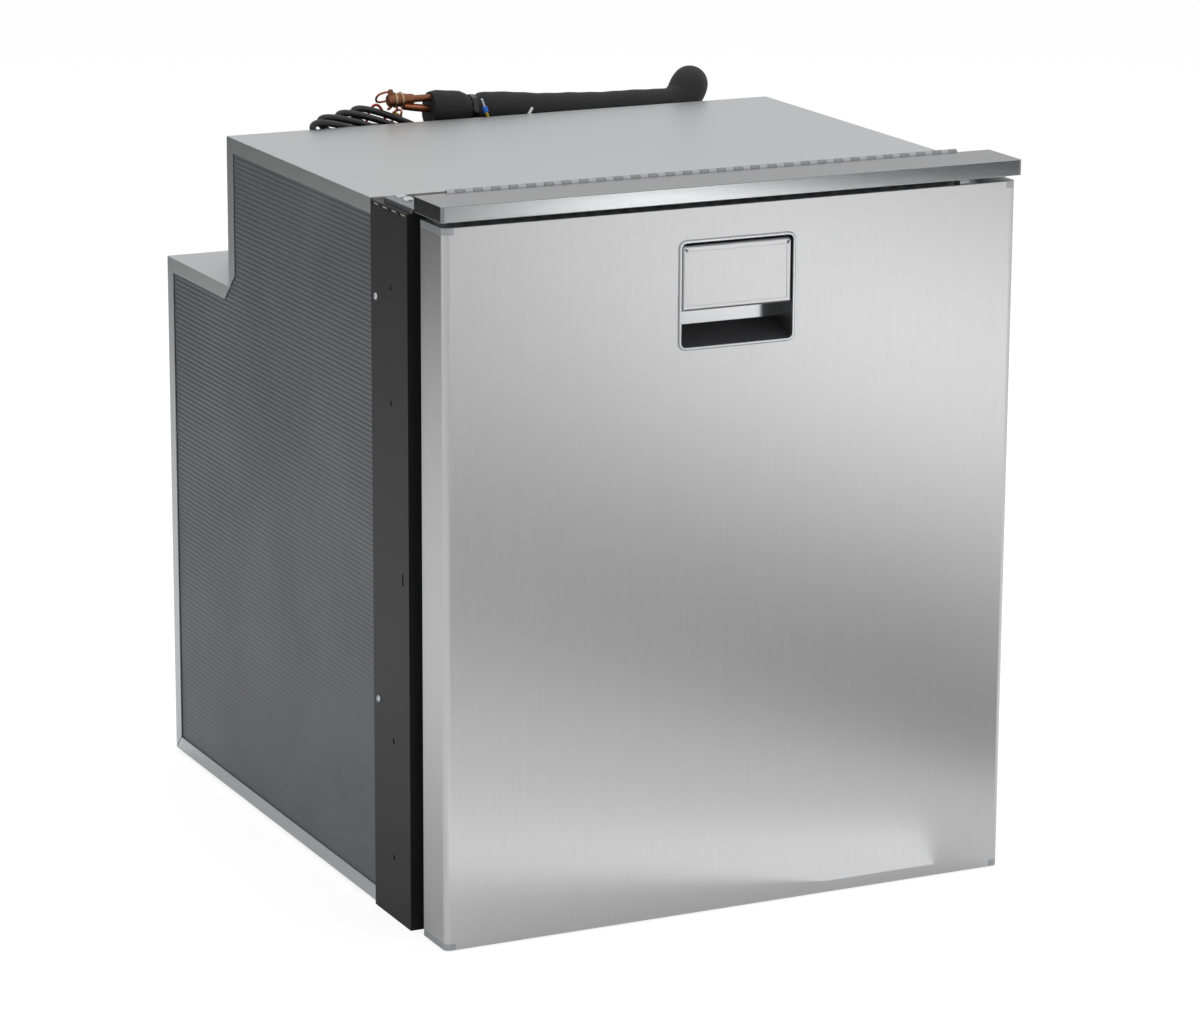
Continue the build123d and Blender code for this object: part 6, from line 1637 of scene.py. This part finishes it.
@dataclass
class Studio:
    """Light, backdrop and camera, in metres and degrees. The camera's numbers were fitted to the photo."""

    azimuth: float = -25.74
    elevation: float = 14.39
    roll: float = 0.29
    lens: float = 136.47
    sensor: float = 36.0
    distance: float = 3.3563
    target: Point = (-0.11161, -0.2767, 0.32692)
    farthest: float = 50.0
    fill: float = 0.5
    floor_half: float = 5.0
    floor_glow: float = 1.2
    floor_glow_share: float = 0.7
    # Each panel's name, place, aim, size and power in watts
    panels: tuple[tuple[str, Point, Point, tuple[float, float], float], ...] = (
        ("top panel", (0.2, 0.3, 2.6), (0, 0, 0.5), (2.4, 2.4), 42.0),
        ("right panel", (2.4, -2.0, 1.4), (0, -0.28, 0.3), (1.8, 1.8), 30.0),
        ("left panel", (-2.6, -0.2, 0.9), (-0.24, 0, 0.2), (1.4, 1.4), 5.0),
    )
    # Each strip's name, place, turn about the upright, size and brightness
    strips: tuple[tuple[str, Point, float, tuple[float, float], float], ...] = (
        ("near strip", (1.1, -2.2, 0.02), 0.0, (0.42, 1.3), 2.6),
        ("far strip", (1.36, -3.2, 0.03), 26.0, (0.26, 1.3), 4.4),
        ("foot strip", (-0.08, -0.43, 0.01), 25.0, (0.6, 0.14), 0.45),
    )
    # Each card's name, brightness and corners
    cards: tuple[tuple[str, float, list[Point]], ...] = (
        ("front card", 0.28, [(-0.15, -1.25, 0.01), (0.32, -1.85, 0.01), (0.72, -0.9, 0.01), (0.38, -0.4, 0.01)]),
        ("far card", 0.02, [(1.5, -4.6, 0.0), (1.42, -1.9, 0.0), (1.42, -1.9, 1.4), (1.5, -4.6, 1.4)]),
        ("front left card", 0.5, [(-0.6, -3.2, 0.0), (0.92, -3.35, 0.0), (0.92, -3.35, 1.3), (-0.6, -3.2, 1.3)]),
        ("left card", 0.05, [(-2.4, 1.0, 0.0), (-0.5, 2.3, 0.0), (-0.5, 2.3, 0.9), (-2.4, 1.0, 0.9)]),
        ("back card", 0.64, [(-0.4, 2.6, 0.0), (3.6, 2.6, 0.0), (3.6, 2.6, 2.0), (-0.4, 2.6, 2.0)]),
    )

    def build(self) -> None:
        """Sets up the whole studio."""
        scene = bpy.context.scene
        scene.view_settings.view_transform = "Standard"
        scene.view_settings.look = "None"
        self._world(scene)
        self._floor()
        self._cards()
        self._lights()
        self._camera(scene)

    def _camera(self, scene: bpy.types.Scene) -> None:
        """Places the camera as fitted.

        Args:
            scene: The scene that it looks at.
        """
        azimuth, elevation, roll = (math.radians(value) for value in (self.azimuth, self.elevation, self.roll))
        level = math.cos(elevation)
        back = Vector((math.sin(azimuth) * level, -math.cos(azimuth) * level, math.sin(elevation)))
        right = UP.cross(back).normalized()
        upward = back.cross(right)
        turned_right = right * math.cos(roll) + upward * math.sin(roll)
        turned_up = upward * math.cos(roll) - right * math.sin(roll)
        turn = Matrix((turned_right, turned_up, back)).transposed().to_4x4()
        camera = bpy.data.objects.new("camera", bpy.data.cameras.new("camera"))
        camera.data.lens = self.lens
        camera.data.sensor_width = self.sensor
        camera.data.clip_end = self.farthest
        camera.matrix_world = Matrix.Translation(Vector(self.target) + back * self.distance) @ turn
        scene.collection.objects.link(camera)
        scene.camera = camera

    def _world(self, scene: bpy.types.Scene) -> None:
        """Makes a white backdrop for the camera and an even, softer light for everything else.

        Args:
            scene: The scene that it surrounds.
        """
        world = bpy.data.worlds.new("studio")
        scene.world = world
        world.use_nodes = True
        tree = world.node_tree
        tree.nodes.clear()
        path = add_node(tree, "ShaderNodeLightPath")
        glossy = add_node(
            tree,
            "ShaderNodeMath",
            {"operation": "MAXIMUM"},
            {0: path.outputs["Is Camera Ray"], 1: path.outputs["Is Glossy Ray"]},
        )
        seen = add_node(
            tree,
            "ShaderNodeMath",
            {"operation": "MAXIMUM"},
            {0: glossy.outputs["Value"], 1: path.outputs["Is Transmission Ray"]},
        )
        lit = add_node(tree, "ShaderNodeBackground", Color=linear("FFFFFF"), Strength=self.fill)
        white = add_node(tree, "ShaderNodeBackground", Color=linear("FFFFFF"), Strength=1.0)
        mix = add_node(tree, "ShaderNodeMixShader", links={"Fac": seen.outputs["Value"]})
        tree.links.new(lit.outputs["Background"], mix.inputs[1])
        tree.links.new(white.outputs["Background"], mix.inputs[2])
        add_node(tree, "ShaderNodeOutputWorld", links={"Surface": mix.outputs["Shader"]})

    def _floor(self) -> None:
        """Makes a pale paper floor, nearly burnt out for the camera, that keeps a trace of the object's shadow."""
        paper = bpy.data.materials.new("white paper floor")
        paper.use_nodes = True
        tree = paper.node_tree
        shader = tree.nodes["Principled BSDF"]
        shader.inputs["Base Color"].default_value = linear("EFEFEF")
        shader.inputs["Roughness"].default_value = 0.9
        path = add_node(tree, "ShaderNodeLightPath")
        share = add_node(tree, "ShaderNodeMath", {"operation": "MULTIPLY"}, {0: path.outputs["Is Camera Ray"]})
        share.inputs[1].default_value = self.floor_glow_share
        glow = add_node(tree, "ShaderNodeEmission", Color=linear("FFFFFF"), Strength=self.floor_glow)
        mix = add_node(tree, "ShaderNodeMixShader", links={"Fac": share.outputs["Value"]})
        tree.links.new(shader.outputs["BSDF"], mix.inputs[1])
        tree.links.new(glow.outputs["Emission"], mix.inputs[2])
        tree.links.new(mix.outputs["Shader"], tree.nodes["Material Output"].inputs["Surface"])
        size = self.floor_half
        self._card("floor", [(-size, -size, 0), (size, -size, 0), (size, size, 0), (-size, size, 0)], paper)

    def _cards(self) -> None:
        """Sets up the grey cards that the metal reflects and that nothing else sees."""
        for name, brightness, corners in self.cards:
            paper = bpy.data.materials.new(name)
            paper.use_nodes = True
            tree = paper.node_tree
            glow = add_node(tree, "ShaderNodeEmission", Color=linear("FFFFFF"), Strength=brightness)
            tree.links.new(glow.outputs["Emission"], tree.nodes["Material Output"].inputs["Surface"])
            card = self._card(name, corners, paper)
            card.visible_camera = False
            card.visible_diffuse = False
            card.visible_shadow = False

    @staticmethod
    def _card(name: str, corners: list[Point], paper: bpy.types.Material) -> bpy.types.Object:
        """Adds a flat card of the studio.

        Args:
            name: The object's name.
            corners: Its four corners.
            paper: Its material.

        Returns:
            The card.
        """
        mesh = bpy.data.meshes.new(name)
        mesh.from_pydata(corners, [], [(0, 1, 2, 3)])
        mesh.materials.append(paper)
        card = bpy.data.objects.new(name, mesh)
        bpy.context.scene.collection.objects.link(card)
        return card

    def _lights(self) -> None:
        """Sets up large soft panels above and at the sides, and strips that lie near the floor in front."""
        for name, seat, aim, size, power in self.panels:
            turn = (Vector(aim) - Vector(seat)).to_track_quat("-Z", "Y").to_euler()
            self._lamp(name, seat, turn, size, power).visible_glossy = False
        for name, seat, angle, size, brightness in self.strips:
            power = brightness * math.pi * size[0] * size[1]
            self._lamp(name, seat, Euler((math.pi, 0, math.radians(angle))), size, power)

    @staticmethod
    def _lamp(name: str, seat: Point, turn: Euler, size: tuple[float, float], power: float) -> bpy.types.Object:
        """Adds a flat lamp that the camera doesn't see.

        Args:
            name: The lamp's name.
            seat: Its place.
            turn: How it is turned.
            size: Its width and height.
            power: In watts.

        Returns:
            The lamp.
        """
        data = bpy.data.lights.new(name, "AREA")
        data.shape = "RECTANGLE"
        data.size, data.size_y = size
        data.energy = power
        lamp = bpy.data.objects.new(name, data)
        lamp.location = seat
        lamp.rotation_euler = turn
        lamp.visible_camera = False
        bpy.context.scene.collection.objects.link(lamp)
        return lamp


def main() -> None:
    """Builds every sub-assembly, then the studio."""
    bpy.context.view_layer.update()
    for assembly in (
        CabinetShell(),
        FrameFasteners(),
        FrontPanel(),
        Handle(),
        TopFlap(),
        Runners(),
        ColdFittings(),
        CoolingUnit(),
        SuctionLine(),
        SupplyLead(),
        Studio(),
    ):
        assembly.build()


if __name__ == "__main__":
    main()
